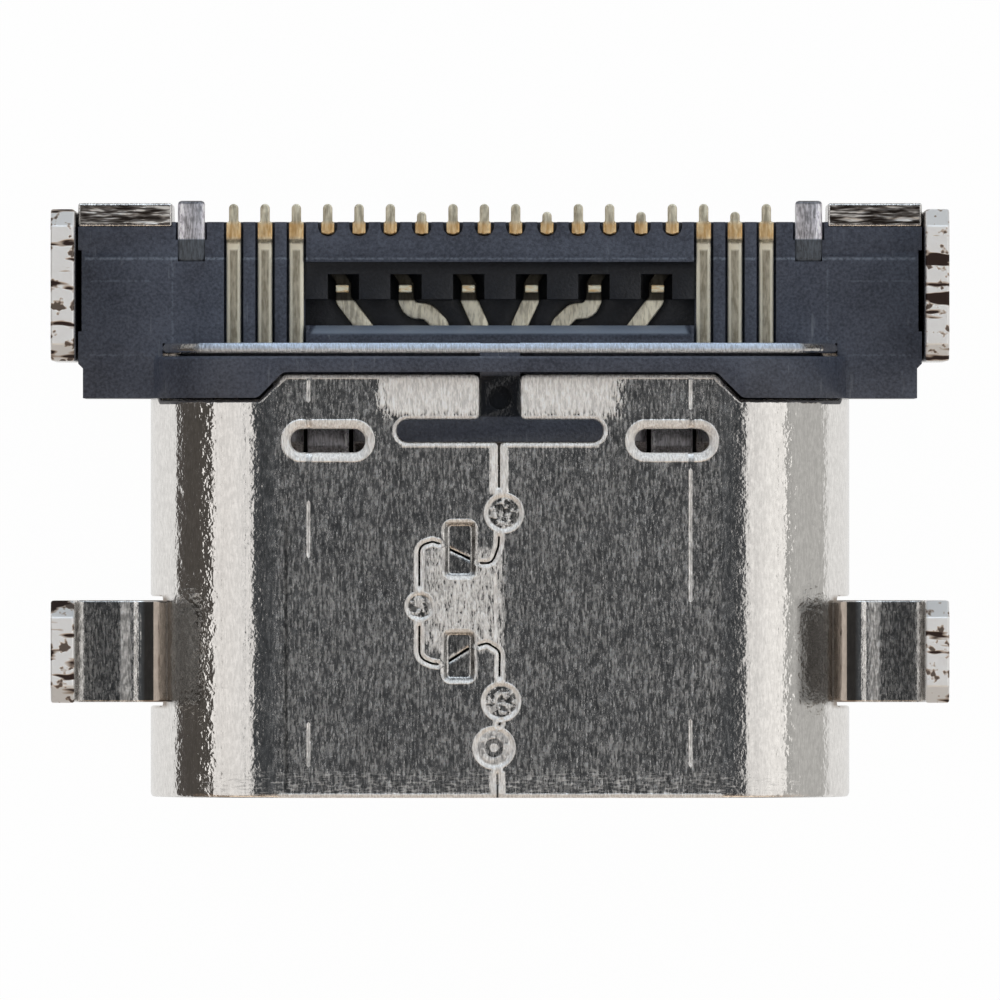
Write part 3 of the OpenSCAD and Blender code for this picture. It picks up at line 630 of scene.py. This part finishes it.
# the rear plate, notched beside the flaps, and the bridge that joins it to the tube
half, notch_x, notch_y = leg_in - fold_r, flap_x - flap_w / 2, plate_rear - 0.26
corners = [(-half, plate_front), (half, plate_front), (half, notch_y), (notch_x, notch_y),
           (notch_x, plate_rear), (-notch_x, plate_rear), (-notch_x, notch_y), (-half, notch_y)]
slab(bm, [(x, y, 0.05) for x, y in corners], plate_z, plate_z + sheet)
corners = [(-flat_half, tube_l - 0.1), (flat_half, tube_l - 0.1), (flat_half, plate_front + 0.1),
           (-flat_half, plate_front + 0.1)]
slab(bm, [(x, y, 0) for x, y in corners], plate_z, plate_z + sheet)

# nickel plate over the rolled steel: rolling streaks and pits, rough patches where it was rubbed, and
# painted highlights and shade


def new_group(name, inputs, outputs):
    """A shader node group with named number inputs and outputs, and the function that adds its nodes."""
    group = bpy.data.node_groups.new(name, "ShaderNodeTree")
    for key, value in inputs.items():
        socket = group.interface.new_socket(key, in_out="INPUT", socket_type="NodeSocketFloat")
        socket.default_value = value
    for key in outputs:
        group.interface.new_socket(key, in_out="OUTPUT", socket_type="NodeSocketFloat")
    return group, node_adder(group)


def maths(add, kind, a, b=0.0, c=0.0):
    """One sum on up to three values."""
    return add("ShaderNodeMath", {0: a, 1: b, 2: c}, operation=kind).outputs[0]


def times(add, first, *others):
    """The product of several values."""
    for value in others:
        first = maths(add, "MULTIPLY", first, value)
    return first


def most(add, first, *others):
    """The highest of several values."""
    for value in others:
        first = maths(add, "MAXIMUM", first, value)
    return first


def share(add, mask, change):
    """1 outside a mask, and 1 + change inside it."""
    return maths(add, "MULTIPLY_ADD", mask, change, 1.0)


def millimetres(add):
    """The place on the part, in millimetres."""
    place = add("ShaderNodeTexCoord")
    mm = add("ShaderNodeVectorMath", {0: place.outputs["Object"], 1: (1000, 1000, 1000)},
             operation="MULTIPLY")
    return mm.outputs[0]


def part_place(add):
    """X, Y and Z on the part, and the distance from its middle plane, in millimetres."""
    x, y, z = add("ShaderNodeSeparateXYZ", {0: millimetres(add)}).outputs
    return x, y, z, maths(add, "ABSOLUTE", x)


def noise(add, vector, scale, detail):
    """A soft random value."""
    node = add("ShaderNodeTexNoise", {"Vector": vector, "Scale": scale, "Detail": detail, "Roughness": 0.6})
    return node.outputs[0]


# streaks along Y, round specks, soft clouds and distances to pits, all sized per millimetre
rolled, add = new_group("rolled_surface", {"Streaks": 44.0, "Length": 9.0, "Peel": 30.0},
                        ["Streak", "Speck", "Cloud", "Pit"])
take = add("NodeGroupInput").outputs
mm = millimetres(add)
stretch = add("ShaderNodeCombineXYZ", {0: take["Streaks"], 1: take["Length"], 2: take["Streaks"]})
long_way = add("ShaderNodeVectorMath", {0: mm, 1: stretch.outputs[0]}, operation="MULTIPLY")
pit = add("ShaderNodeTexVoronoi", {"Vector": mm, "Scale": 11.0, "Randomness": 1.0})
add("NodeGroupOutput", {"Streak": noise(add, long_way.outputs[0], 1.0, 2.0),
                        "Speck": noise(add, mm, take["Peel"], 2.0),
                        "Cloud": noise(add, mm, 1.3, 4.0), "Pit": pit.outputs["Distance"]})


def patterns(add, streaks=44.0, length=9.0, peel=30.0):
    """The patterns of the rolled surface, at sizes of their own."""
    sizes = {"Streaks": streaks, "Length": length, "Peel": peel}
    return add("ShaderNodeGroup", sizes, node_tree=rolled).outputs


def zone(add, x, y, x_range, y_range, soft=0.05):
    """A mask that is 1 inside a box on the board side, with soft edges, in millimetres."""
    sides = []
    for value, (low, high) in ((x, x_range), (y, y_range)):
        off = maths(add, "ABSOLUTE", maths(add, "SUBTRACT", value, (low + high) / 2))
        half = (high - low) / 2
        sides.append(sharpen(add, off, half + soft / 2, half - soft / 2))
    return times(add, *sides)


def disc(add, x, y, place, radius):
    """A mask that is 1 inside a circle on the board side."""
    dx, dy = (maths(add, "SUBTRACT", value, centre) for value, centre in zip((x, y), place))
    square = maths(add, "MULTIPLY_ADD", dx, dx, times(add, dy, dy))
    return sharpen(add, square, (radius * 1.04) ** 2, (radius * 0.94) ** 2)


def mix_number(add, mask, a, b):
    """A number that is a outside a mask and b inside it."""
    return add("ShaderNodeMix", {0: mask, 2: a, 3: b}, data_type="FLOAT").outputs[0]


def new_material(name):
    """An empty material and the function that adds its nodes."""
    material = bpy.data.materials.new(name)
    return material, emptied(material)


def finish(add, colour, rough, height, depth, metal=1.0):
    """Ends a material with its colour, roughness and metal, over bumps of a depth in millimetres."""
    bump = add("ShaderNodeBump", {"Height": height, "Strength": 1.0, "Distance": depth * MM})
    shader = add("ShaderNodeBsdfPrincipled", {"Base Color": colour, "Metallic": metal, "Roughness": rough,
                                              "Normal": bump.outputs[0]})
    add("ShaderNodeOutputMaterial", {"Surface": shader.outputs[0]})


def darken(add, look, mask, change):
    """Changes a look's brightness by a share under a mask."""
    look["shade"] = times(add, look["shade"], share(add, mask, change))


def roughen(add, look, mask, amount):
    """Makes a look duller under a mask."""
    look["dull"] = maths(add, "MULTIPLY_ADD", mask, amount, look["dull"])


def steel_material(name, tint, rough, streak_height, speck_height, marks):
    """Plated sheet steel with fine streaks and pits; marks(add, look, grain, streak) adds a part's own."""
    material, add = new_material(name)
    grain = patterns(add)
    streak = sharpen(add, grain["Streak"], 0.38, 0.62)
    pits = sharpen(add, grain["Pit"], 0.1, 0.2)
    look = {"brown": 0.0, "cool": 0.0, "metal": 1.0}
    look["shade"] = times(add, maths(add, "MULTIPLY_ADD", streak, 0.5, 0.5),
                          maths(add, "MULTIPLY_ADD", pits, 0.35, 0.65))
    look["dull"] = maths(add, "MULTIPLY_ADD", streak, 0.12, rough)
    roughen(add, look, sharpen(add, grain["Cloud"], 0.35, 0.65), 0.04)
    roughen(add, look, sharpen(add, grain["Speck"], 0.3, 0.7), 0.06)
    look["height"] = maths(add, "MULTIPLY_ADD", grain["Speck"], speck_height,
                           times(add, grain["Streak"], streak_height))
    marks(add, look, grain, streak)
    tone = mix_colour(add, look["brown"], tint, (0.4, 0.345, 0.3))
    tone = mix_colour(add, look["cool"], tone, (0.66, 0.75, 0.88))
    shaded = add("ShaderNodeVectorMath", {0: tone, 3: look["shade"]}, operation="SCALE")
    finish(add, shaded.outputs[0], look["dull"], look["height"], 0.004, look["metal"])
    return material


def bend_marks(add, look, x, y, wide, tube, ripple, waves):
    """Glossy rippled bends, painted paler as a highlight and darker under the lamp bands; the tube's sides
    smooth.
    """
    all_along = (-1, 9)
    bend = times(add, sharpen(add, wide, 2.75, 3.2), tube)
    side = times(add, sharpen(add, wide, 4.12, 4.24), tube)
    blotched = times(add, look["shade"], sharpen(add, ripple["Speck"], 0.42, 0.6, 0.82, 1.12))
    # painted highlight: the bends are painted paler, towards white
    look["shade"] = maths(add, "MULTIPLY_ADD", maths(add, "SUBTRACT", 1.0, blotched),
                          times(add, bend, 0.7), blotched)
    # painted shade: darker where the side lamps' bright bands fall on the bends
    darken(add, look, zone(add, wide, y, (2.95, 3.68), all_along, 0.15), -0.24)
    calm = share(add, bend, -0.75)
    smoothest = 0.09
    rougher = maths(add, "SUBTRACT", look["dull"], smoothest)
    look["dull"] = maths(add, "MULTIPLY_ADD", rougher, calm, smoothest)
    ripples = maths(add, "MULTIPLY_ADD", zone(add, wide, y, (3.18, 3.6), all_along, 0.1), -0.85, 1.2)
    ripples = maths(add, "MULTIPLY_ADD", zone(add, x, y, (-3.88, -3.62), all_along, 0.1), 0.8, ripples)
    height = maths(add, "MULTIPLY_ADD", times(add, waves, bend), ripples, times(add, look["height"], calm))
    look["height"] = times(add, height, share(add, side, -1.0))


def spot_marks(add, look, x, y, ripple, waves, rim_wear_and_highlight):
    """The round spots are pale and rough at the edge, mottled inside with painted shade. Returns the edges'
    mask.
    """
    mottle = sharpen(add, ripple["Speck"], 0.49, 0.58)
    for px, py, r in spots:
        inside_spot = disc(add, x, y, (px, py), 0.8 * r)
        wear_and_glint = times(add, mottle, 0.5)
        if (px, py, r) == spots[-1]:
            # the last one is paler, with a painted reflection: a bright middle in a dark ring
            ring = share(add, disc(add, x, y, (px, py), 0.46 * r), -0.8)
            wear_and_glint = times(add, maths(add, "MULTIPLY_ADD", mottle, 0.35, 0.4), ring)
            wear_and_glint = most(add, wear_and_glint, disc(add, x, y, (px, py), 0.2 * r))
        rim_wear_and_highlight = mix_number(add, inside_spot, rim_wear_and_highlight, wear_and_glint)
        shadow = most(add, times(add, inside_spot, maths(add, "MULTIPLY_ADD", wear_and_glint, -1.0, 0.5)), 0)
        darken(add, look, shadow, -1.0)
        look["height"] = maths(add, "MULTIPLY_ADD", times(add, inside_spot, waves), 0.25, look["height"])
    return rim_wear_and_highlight


def scraped_marks(add, look, x, y, z, wide, tube, top, grain, streak, ripple, waves):
    """Scraped bright beside the T slot's stem and on the dovetail; the cut edges worn rough and painted pale
    as a highlight.
    """
    by_stem = maths(add, "MULTIPLY_ADD", streak, 0.5, zone(add, wide, y, (0.2, 1.5), (4.84, 5.5), 0.3))
    by_stem = times(add, sharpen(add, by_stem, 0.6, 0.9), sharpen(add, y, 4.8, 4.86),
                    sharpen(add, wide, 1.7, 1.6))
    coined = most(add, zone(add, x, y, (-0.7, -0.32), (2.83, 3.5), 0.02),
                  zone(add, x, y, (-0.71, -0.33), (1.5, 2.1), 0.02))
    uncoined = share(add, coined, -1.0)
    dovetail = times(add, zone(add, x, y, (-0.9, 0.0), (1.9, 3.14), 0.16), uncoined,
                     maths(add, "MULTIPLY_ADD", streak, 0.6, 0.1))
    # the cut edges: worn rough and painted pale, a painted highlight along them
    # all that lies below the flat top, apart from the mouth's front face, and less on the die lines
    below_top = times(add, sharpen(add, z, tube_r - 0.0002, tube_r - 0.0015), sharpen(add, wide, 2.85, 2.8))
    mouth_face = times(add, sharpen(add, y, 0.06, 0.04), sharpen(add, z, tube_r - 0.045, tube_r - 0.06))
    die_lines = zone(add, wide, y, (2.39, 2.47), (0.3, 5.35), 0.01)
    rim_wear_and_highlight = times(add, below_top, share(add, mouth_face, -1.0), share(add, die_lines, -0.65), uncoined, 0.95)
    # the rolled rim behind the collar gets the same painted highlight
    rear = times(add, sharpen(add, y, collar_rear - 0.1, collar_rear - 0.05), tube, 0.9)
    rim_wear_and_highlight = most(add, rim_wear_and_highlight, rear)
    for px, py in slit_joints:
        rim_wear_and_highlight = most(add, rim_wear_and_highlight, zone(add, x, y, (px - 0.06, px + 0.06), (py - 0.07, py + 0.07), 0.03))
    # the pockets are burnished and painted pale at their ends, not along their sides
    for px, py, w, l in pockets:
        along_side = zone(add, x, y, (px - w / 2 - 0.06, px + w / 2 + 0.06),
                          (py - l / 2 + 0.07, py + l / 2 - 0.07), 0.03)
        rim_wear_and_highlight = times(add, rim_wear_and_highlight, share(add, along_side, -0.75))
    # the T slot's front lip and the slit's first and last stretch are broader
    for x_range, y_range in (((-1.25, 1.25), (4.465, 4.53)), ((-0.12, 0.094), (3.87, 4.5)),
                             ((-0.12, 0.055), (0.0, 0.33))):
        rim_wear_and_highlight = most(add, rim_wear_and_highlight, zone(add, x, y, x_range, y_range, 0.03))
    rim_wear_and_highlight = spot_marks(add, look, x, y, ripple, waves, rim_wear_and_highlight)
    wear_and_highlight = times(add, most(add, by_stem, dovetail, rim_wear_and_highlight), top)
    roughen(add, look, wear_and_highlight, 0.42)
    look["height"] = maths(add, "MULTIPLY_ADD", times(add, wear_and_highlight, grain["Streak"]), 3.5, look["height"])
    look["shade"] = mix_number(add, wear_and_highlight, look["shade"], maths(add, "MULTIPLY_ADD", streak, 0.3, 0.8))
    # painted shade: the pockets are darker inside
    darken(add, look, coined, -0.3)


def wing_marks(add, look, y, z, wide, tube):
    """Painted brown shade where the wings bend out, painted shade on the tube beside them, dark flats, a
    crease worn rough.
    """
    wing_run = (1.15, 2.56)
    raised = sharpen(add, z, 0.2, 0.5)
    # painted shade, tinted brown, where the wings bend out of the tube
    look["brown"] = times(add, zone(add, wide, y, (4.24, 4.56), wing_run, 0.06), raised)
    darken(add, look, times(add, zone(add, wide, y, (4.86, 5.36), wing_run, 0.03), raised), -0.35)
    # painted shade on the tube's sides beside the wings
    darken(add, look, times(add, zone(add, wide, y, (3.8, 4.24), (1.2, 2.5), 0.1), tube), -0.6)
    roughen(add, look, zone(add, wide, y, (4.72, 4.84), wing_run, 0.05), 0.22)
    look["height"] = times(add, look["height"], share(add, look["brown"], -0.8))


def shell_marks(add, look, grain, streak):
    """What bending, scraping and tarnish left on the shell."""
    x, y, z, wide = part_place(add)
    top = sharpen(add, z, 1.2, 1.3)
    tube = times(add, sharpen(add, wide, 4.62, 4.58), sharpen(add, y, 0, 0.01), sharpen(add, y, 5.83, 5.81))
    ripple = patterns(add, streaks=9.0, length=7.0, peel=13.0)
    waves = maths(add, "MULTIPLY_ADD", ripple["Streak"], 2.6, ripple["Speck"])
    bend_marks(add, look, x, y, wide, tube, ripple, waves)
    scraped_marks(add, look, x, y, z, wide, tube, top, grain, streak, ripple, waves)
    # short dashes across, near the mouth
    dashes = patterns(add, streaks=7.0, length=38.0)
    dashes = times(add, sharpen(add, dashes["Streak"], 0.52, 0.62), sharpen(add, y, 0.4, 0.25), top)
    roughen(add, look, dashes, 0.2)
    # a dark line left of the slit, and a painted shadow standing in for the slit's dark gap on its last bit
    # before the mouth
    darken(add, look, zone(add, x, y, (-2.74, -2.7), (0.1, 3.53), 0.03), -0.6)
    slit_shadow_line = times(add, zone(add, x, y, (-0.045, -0.02), (0.0, 0.17), 0.01), top)
    darken(add, look, slit_shadow_line, -0.9)
    wing_marks(add, look, y, z, wide, tube)
    # painted reflection: the rim behind the collar is tinted blue, like the cool back lamp seen in it
    look["cool"] = times(add, sharpen(add, y, 5.69, 5.73), top, tube)


def sheared_material():
    """The torn ends of the sheet: the legs' nearly white with brown marks, the flaps' streaked and dark."""
    material, add = new_material("sheared_steel")
    grain = patterns(add, streaks=1.5, length=6.0, peel=6.0)
    fine = patterns(add, streaks=3.0, length=22.0, peel=9.0)
    wide = part_place(add)[3]
    marks = sharpen(add, grain["Streak"], 0.545, 0.605)
    specks = sharpen(add, grain["Speck"], 0.57, 0.63)
    stain = most(add, marks, times(add, specks, 0.9))
    leg_tone = ramp(add, stain, [
        (0.0, (1.0, 0.995, 0.985)), (0.6, (0.6, 0.5, 0.42)), (1.0, (0.06, 0.04, 0.035))])
    flap_tone = ramp(add, fine["Streak"], [
        (0.4, (0.035, 0.028, 0.024)), (0.52, (0.2, 0.18, 0.165)), (0.62, (0.85, 0.82, 0.78))])
    tone = mix_colour(add, sharpen(add, wide, 5.38, 5.41), flap_tone, leg_tone)
    finish(add, tone, 0.62, maths(add, "MULTIPLY_ADD", stain, -1.0, grain["Speck"]), 0.008)
    return material


shell_steel = steel_material("shell_steel", (0.95, 0.93, 0.905), 0.13, 0.6, 1.3, shell_marks)
make_piece(bm, "rolled_shell", [shell_steel, sheared_material()], ["shell"])

# ---- Housing, wafers and tongue ----
# Glass-filled black nylon mouldings, matt, with a cold blue cast. The housing is moulded round the
# shell's rear end; the two wafers and the tongue carry the contacts and close it from inside.


def plastic_material(name, dark, light, rough, marks=None):
    """Matt moulded plastic, mottled between two tones; marks(add, tone, rough, grain) adds a part's own."""
    material, add = new_material(name)
    grain = patterns(add, streaks=9.0, length=9.0, peel=26.0)
    mottle = maths(add, "MULTIPLY_ADD", grain["Speck"], 0.6, times(add, grain["Cloud"], 0.4))
    tone = ramp(add, mottle, [(0.36, dark), (0.62, light)])
    if marks:
        tone, rough = marks(add, tone, rough, grain)
    finish(add, tone, rough, grain["Speck"], 0.006, metal=0.0)
    return material


def housing_marks(add, tone, rough, grain):
    """Pale scuffs, the T slot's darker filling, witness lines, and painted highlights on the ridge's step
    and the ledge.
    """
    _, y, z, wide = part_place(add)
    scratch = patterns(add, streaks=16.0, length=1.4)
    scuffs = times(add, sharpen(add, scratch["Streak"], 0.64, 0.72), sharpen(add, grain["Cloud"], 0.5, 0.62))
    tone = mix_colour(add, times(add, scuffs, 0.5), tone, (0.2, 0.22, 0.25))
    stem = zone(add, wide, y, (-0.4, 0.4), (4.84, 5.38), 0.04)
    bar = zone(add, wide, y, (-2, 2), (4.4, 5.38), 0.04)
    filling = times(add, most(add, stem, times(add, bar, 0.45)), sharpen(add, z, 1.2, 1.25))
    tone = mix_colour(add, times(add, filling, 0.9), tone, (0.003, 0.003, 0.003))
    # witness lines where the mould's parts met, and a painted highlight, each as (across, along, strength)
    lines = 0.0
    for x_range, y_range, strength in (
            # the two at y 6.87 are the painted highlight along the ridge's step
            ((2.45, 5.3), (6.855, 6.885), 1.0), ((-2.4, 2.4), (6.86, 6.88), 0.9),
            ((4.45, 5.25), (6.575, 6.595), 0.4), ((4.45, 5.25), (5.63, 5.65), 0.4),
            ((4.17, 4.19), (5.8, 6.8), 0.4)):
        lines = most(add, lines, times(add, zone(add, wide, y, x_range, y_range, 0.02), strength))
    lines = times(add, lines, sharpen(add, grain["Speck"], 0.35, 0.6, 0.15, 0.6))
    # painted highlight along the ledge; its ends slope inwards towards the tails
    slope = maths(add, "SUBTRACT", 2.42, times(add, maths(add, "SUBTRACT", y, 5.9), 0.5))
    ledge_highlight = times(add, sharpen(add, maths(add, "SUBTRACT", wide, slope), 0.02, -0.02),
                  sharpen(add, y, 5.9, 5.93), sharpen(add, y, 6.03, 6.015), sharpen(add, z, 0.4, 0.45),
                  sharpen(add, y, 5.9, 6.0, 1.0, 0.65))
    tone = mix_colour(add, most(add, lines, ledge_highlight), tone, (0.22, 0.26, 0.32))
    return tone, maths(add, "MULTIPLY_ADD", filling, -0.34, rough)


def soften(node, width, material, clamp=True):
    """Rounds the edges of a kept CAD solid, which stays where it is, and gives it its finish."""
    weld = node.modifiers.new("weld", "WELD")
    weld.merge_threshold = 1e-6
    flat = node.modifiers.new("flat", "DECIMATE")
    flat.decimate_type = "DISSOLVE"
    flat.angle_limit = math.radians(1)
    bevel = node.modifiers.new("bevel", "BEVEL")
    bevel.width = width * MM
    bevel.segments = 2
    bevel.limit_method = "ANGLE"
    bevel.angle_limit = math.radians(35)
    bevel.harden_normals = True
    bevel.use_clamp_overlap = clamp
    node.data.shade_smooth()
    node.data.materials.clear()
    node.data.materials.append(material)


housing_plastic = plastic_material("housing_plastic", (0.025, 0.03, 0.046), (0.075, 0.086, 0.118), 0.5,
                                   housing_marks)
wafer_plastic = plastic_material("wafer_plastic", (0.006, 0.007, 0.01), (0.014, 0.016, 0.022), 0.45)
tongue_plastic = plastic_material("tongue_plastic", (0.007, 0.007, 0.009), (0.02, 0.02, 0.023), 0.4)
soften(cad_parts["housing"], 0.02, housing_plastic)
for name in ("near_wafer", "far_wafer"):
    soften(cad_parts[name], 0.01, wafer_plastic)
soften(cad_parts["tongue"], 0.03, tongue_plastic)

# ---- Contacts and plates ----
# Stamped copper-alloy strips under gold flash, dull and worn on the tails. The mid plate between them
# and the two ground plates on the tongue are stainless steel.


def gold_material():
    """Gold flash: orange at the tails' bases, grey-gold on their tips and dull along the strips; painted
    highlights and shade.
    """
    material, add = new_material("contact_gold")
    grain = patterns(add, streaks=24.0, length=5.0, peel=20.0)
    _, y, _, wide = part_place(add)
    wear = sharpen(add, grain["Streak"], 0.36, 0.64)
    strip_tone = ramp(add, wear, [(0.0, (0.5, 0.45, 0.34)), (1.0, (0.88, 0.82, 0.66))])
    tip_tone = ramp(add, wear, [(0.0, (0.5, 0.45, 0.34)), (1.0, (0.86, 0.8, 0.64))])
    base_tone = ramp(add, wear, [(0.0, (0.72, 0.46, 0.2)), (1.0, (0.98, 0.76, 0.45))])
    tone = mix_colour(add, sharpen(add, y, 7.33, 7.36), strip_tone, tip_tone)
    # the bases' bright orange is partly gold and partly a painted highlight, where they slant up to the
    # light
    at_base = times(add, sharpen(add, y, 7.1, 7.16), sharpen(add, y, 7.36, 7.3))
    tone = mix_colour(add, at_base, tone, base_tone)
    # the outer strips are darker, with painted highlights along their sides and on the step behind their
    # bases
    outer_x, pitch = (2.45, 3.6), 0.4
    outer = zone(add, wide, y, outer_x, (5.7, 7.08), 0.02)
    in_pitch = maths(add, "FRACT", times(add, maths(add, "SUBTRACT", wide, 2.4), 1 / pitch))
    off_middle = maths(add, "ABSOLUTE", maths(add, "SUBTRACT", in_pitch, 0.5))
    sides = times(add, sharpen(add, off_middle, 0.1, 0.14), outer)
    step = zone(add, wide, y, outer_x, (6.98, 7.07), 0.03)
    # the inner ones get a painted highlight where they slant, and painted shade in the pockets
    inner_x = (-2.3, 2.3)
    slanted = times(add, zone(add, wide, y, inner_x, (5.9, 6.33), 0.03),
                    sharpen(add, wear, 0.1, 0.6, 0.3, 0.8))
    bright = most(add, step, sides, slanted)
    # painted shade: the strips are nearly black in the pockets
    pocket_shade = times(add, zone(add, wide, y, inner_x, (6.34, 7.0), 0.02), 0.93)
    tone = mix_colour(add, times(add, outer, 0.3), tone, (0.2, 0.17, 0.12))
    tone = mix_colour(add, bright, tone, (1.0, 0.95, 0.8))
    tone = mix_colour(add, pocket_shade, tone, (0.02, 0.017, 0.014))
    dull = maths(add, "MULTIPLY_ADD", bright, 0.15, sharpen(add, grain["Speck"], 0.3, 0.7, 0.45, 0.58))
    finish(add, tone, dull, grain["Speck"], 0.006)
    return material


def stub_highlight_gold():
    """Pale gold on the strips' turned-up ends, painted as a highlight."""
    material, add = new_material("stub_highlight_gold")
    grain = patterns(add, streaks=8.0, length=30.0, peel=30.0)
    tone = ramp(add, grain["Streak"], [(0.3, (0.95, 0.7, 0.38)), (0.55, (1.0, 0.96, 0.78))])
    finish(add, tone, 0.6, grain["Speck"], 0.006)
    return material


def plate_marks(add, look, grain, streak):
    """Moulding flash over the roots of the mid plate's tails, painted shade on their cut tips, and painted
    highlights on their sides.
    """
    _, y, _, wide = part_place(add)
    tail = sharpen(add, wide, 3.6, 3.62)
    tip = times(add, tail, sharpen(add, y, 7.56, 7.58))
    root = times(add, tail, sharpen(add, y, 7.13, 7.11), sharpen(add, y, 5.0, 5.1))
    past_root = sharpen(add, y, 7.1, 7.13)
    darken(add, look, root, -0.84)
    # painted shade on the tails' rounded tips
    darken(add, look, tip, -0.7)
    roughen(add, look, root, 0.3)
    look["cool"] = root
    look["metal"] = share(add, root, -1.0)
    # painted highlights, with rougher metal, along the tails' sides and along those of the sprung fingers
    # behind the windows
    off_tail = maths(add, "ABSOLUTE", maths(add, "SUBTRACT", wide, 3.92))
    off_finger = maths(add, "ABSOLUTE", maths(add, "SUBTRACT", wide, 2.21))
    finger = zone(add, wide, y, (1.85, 2.6), (4.3, 4.8), 0.02)
    edge_highlight = most(add, times(add, sharpen(add, off_tail, 0.1, 0.13), past_root),
                  times(add, finger, sharpen(add, off_finger, 0.22, 0.24)))
    look["shade"] = times(add, look["shade"], maths(add, "MULTIPLY_ADD", edge_highlight, 0.7, 0.95))
    roughen(add, look, finger, 0.2)
    roughen(add, look, edge_highlight, 0.25)
    roughen(add, look, maths(add, "SUBTRACT", past_root, tip), 0.12)


contact_gold = gold_material()
plate_steel = steel_material("plate_steel", (0.78, 0.76, 0.8), 0.3, 0.5, 1.0, plate_marks)
for name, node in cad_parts.items():
    if "contact" in name:
        soften(node, 0.018, contact_gold, clamp=False)
    elif "plate" in name:
        soften(node, 0.045, plate_steel)

# the inner strips end in small stubs that stand up in the wafer's six pockets
stub_pitch, stub_y, stub_w, stub_l = 0.806, 6.49, 0.17, 0.1
bm = new_metal_mesh()
for k in range(6):
    x = (k - 2.5) * stub_pitch
    corners = [(x + sx * stub_w / 2, stub_y + sy * stub_l / 2, 0.02)
               for sx, sy in ((-1, -1), (1, -1), (1, 1), (-1, 1))]
    slab(bm, corners, 0.3, 0.46, edge=0.02)
make_piece(bm, "contact_stubs", [stub_highlight_gold()], [])
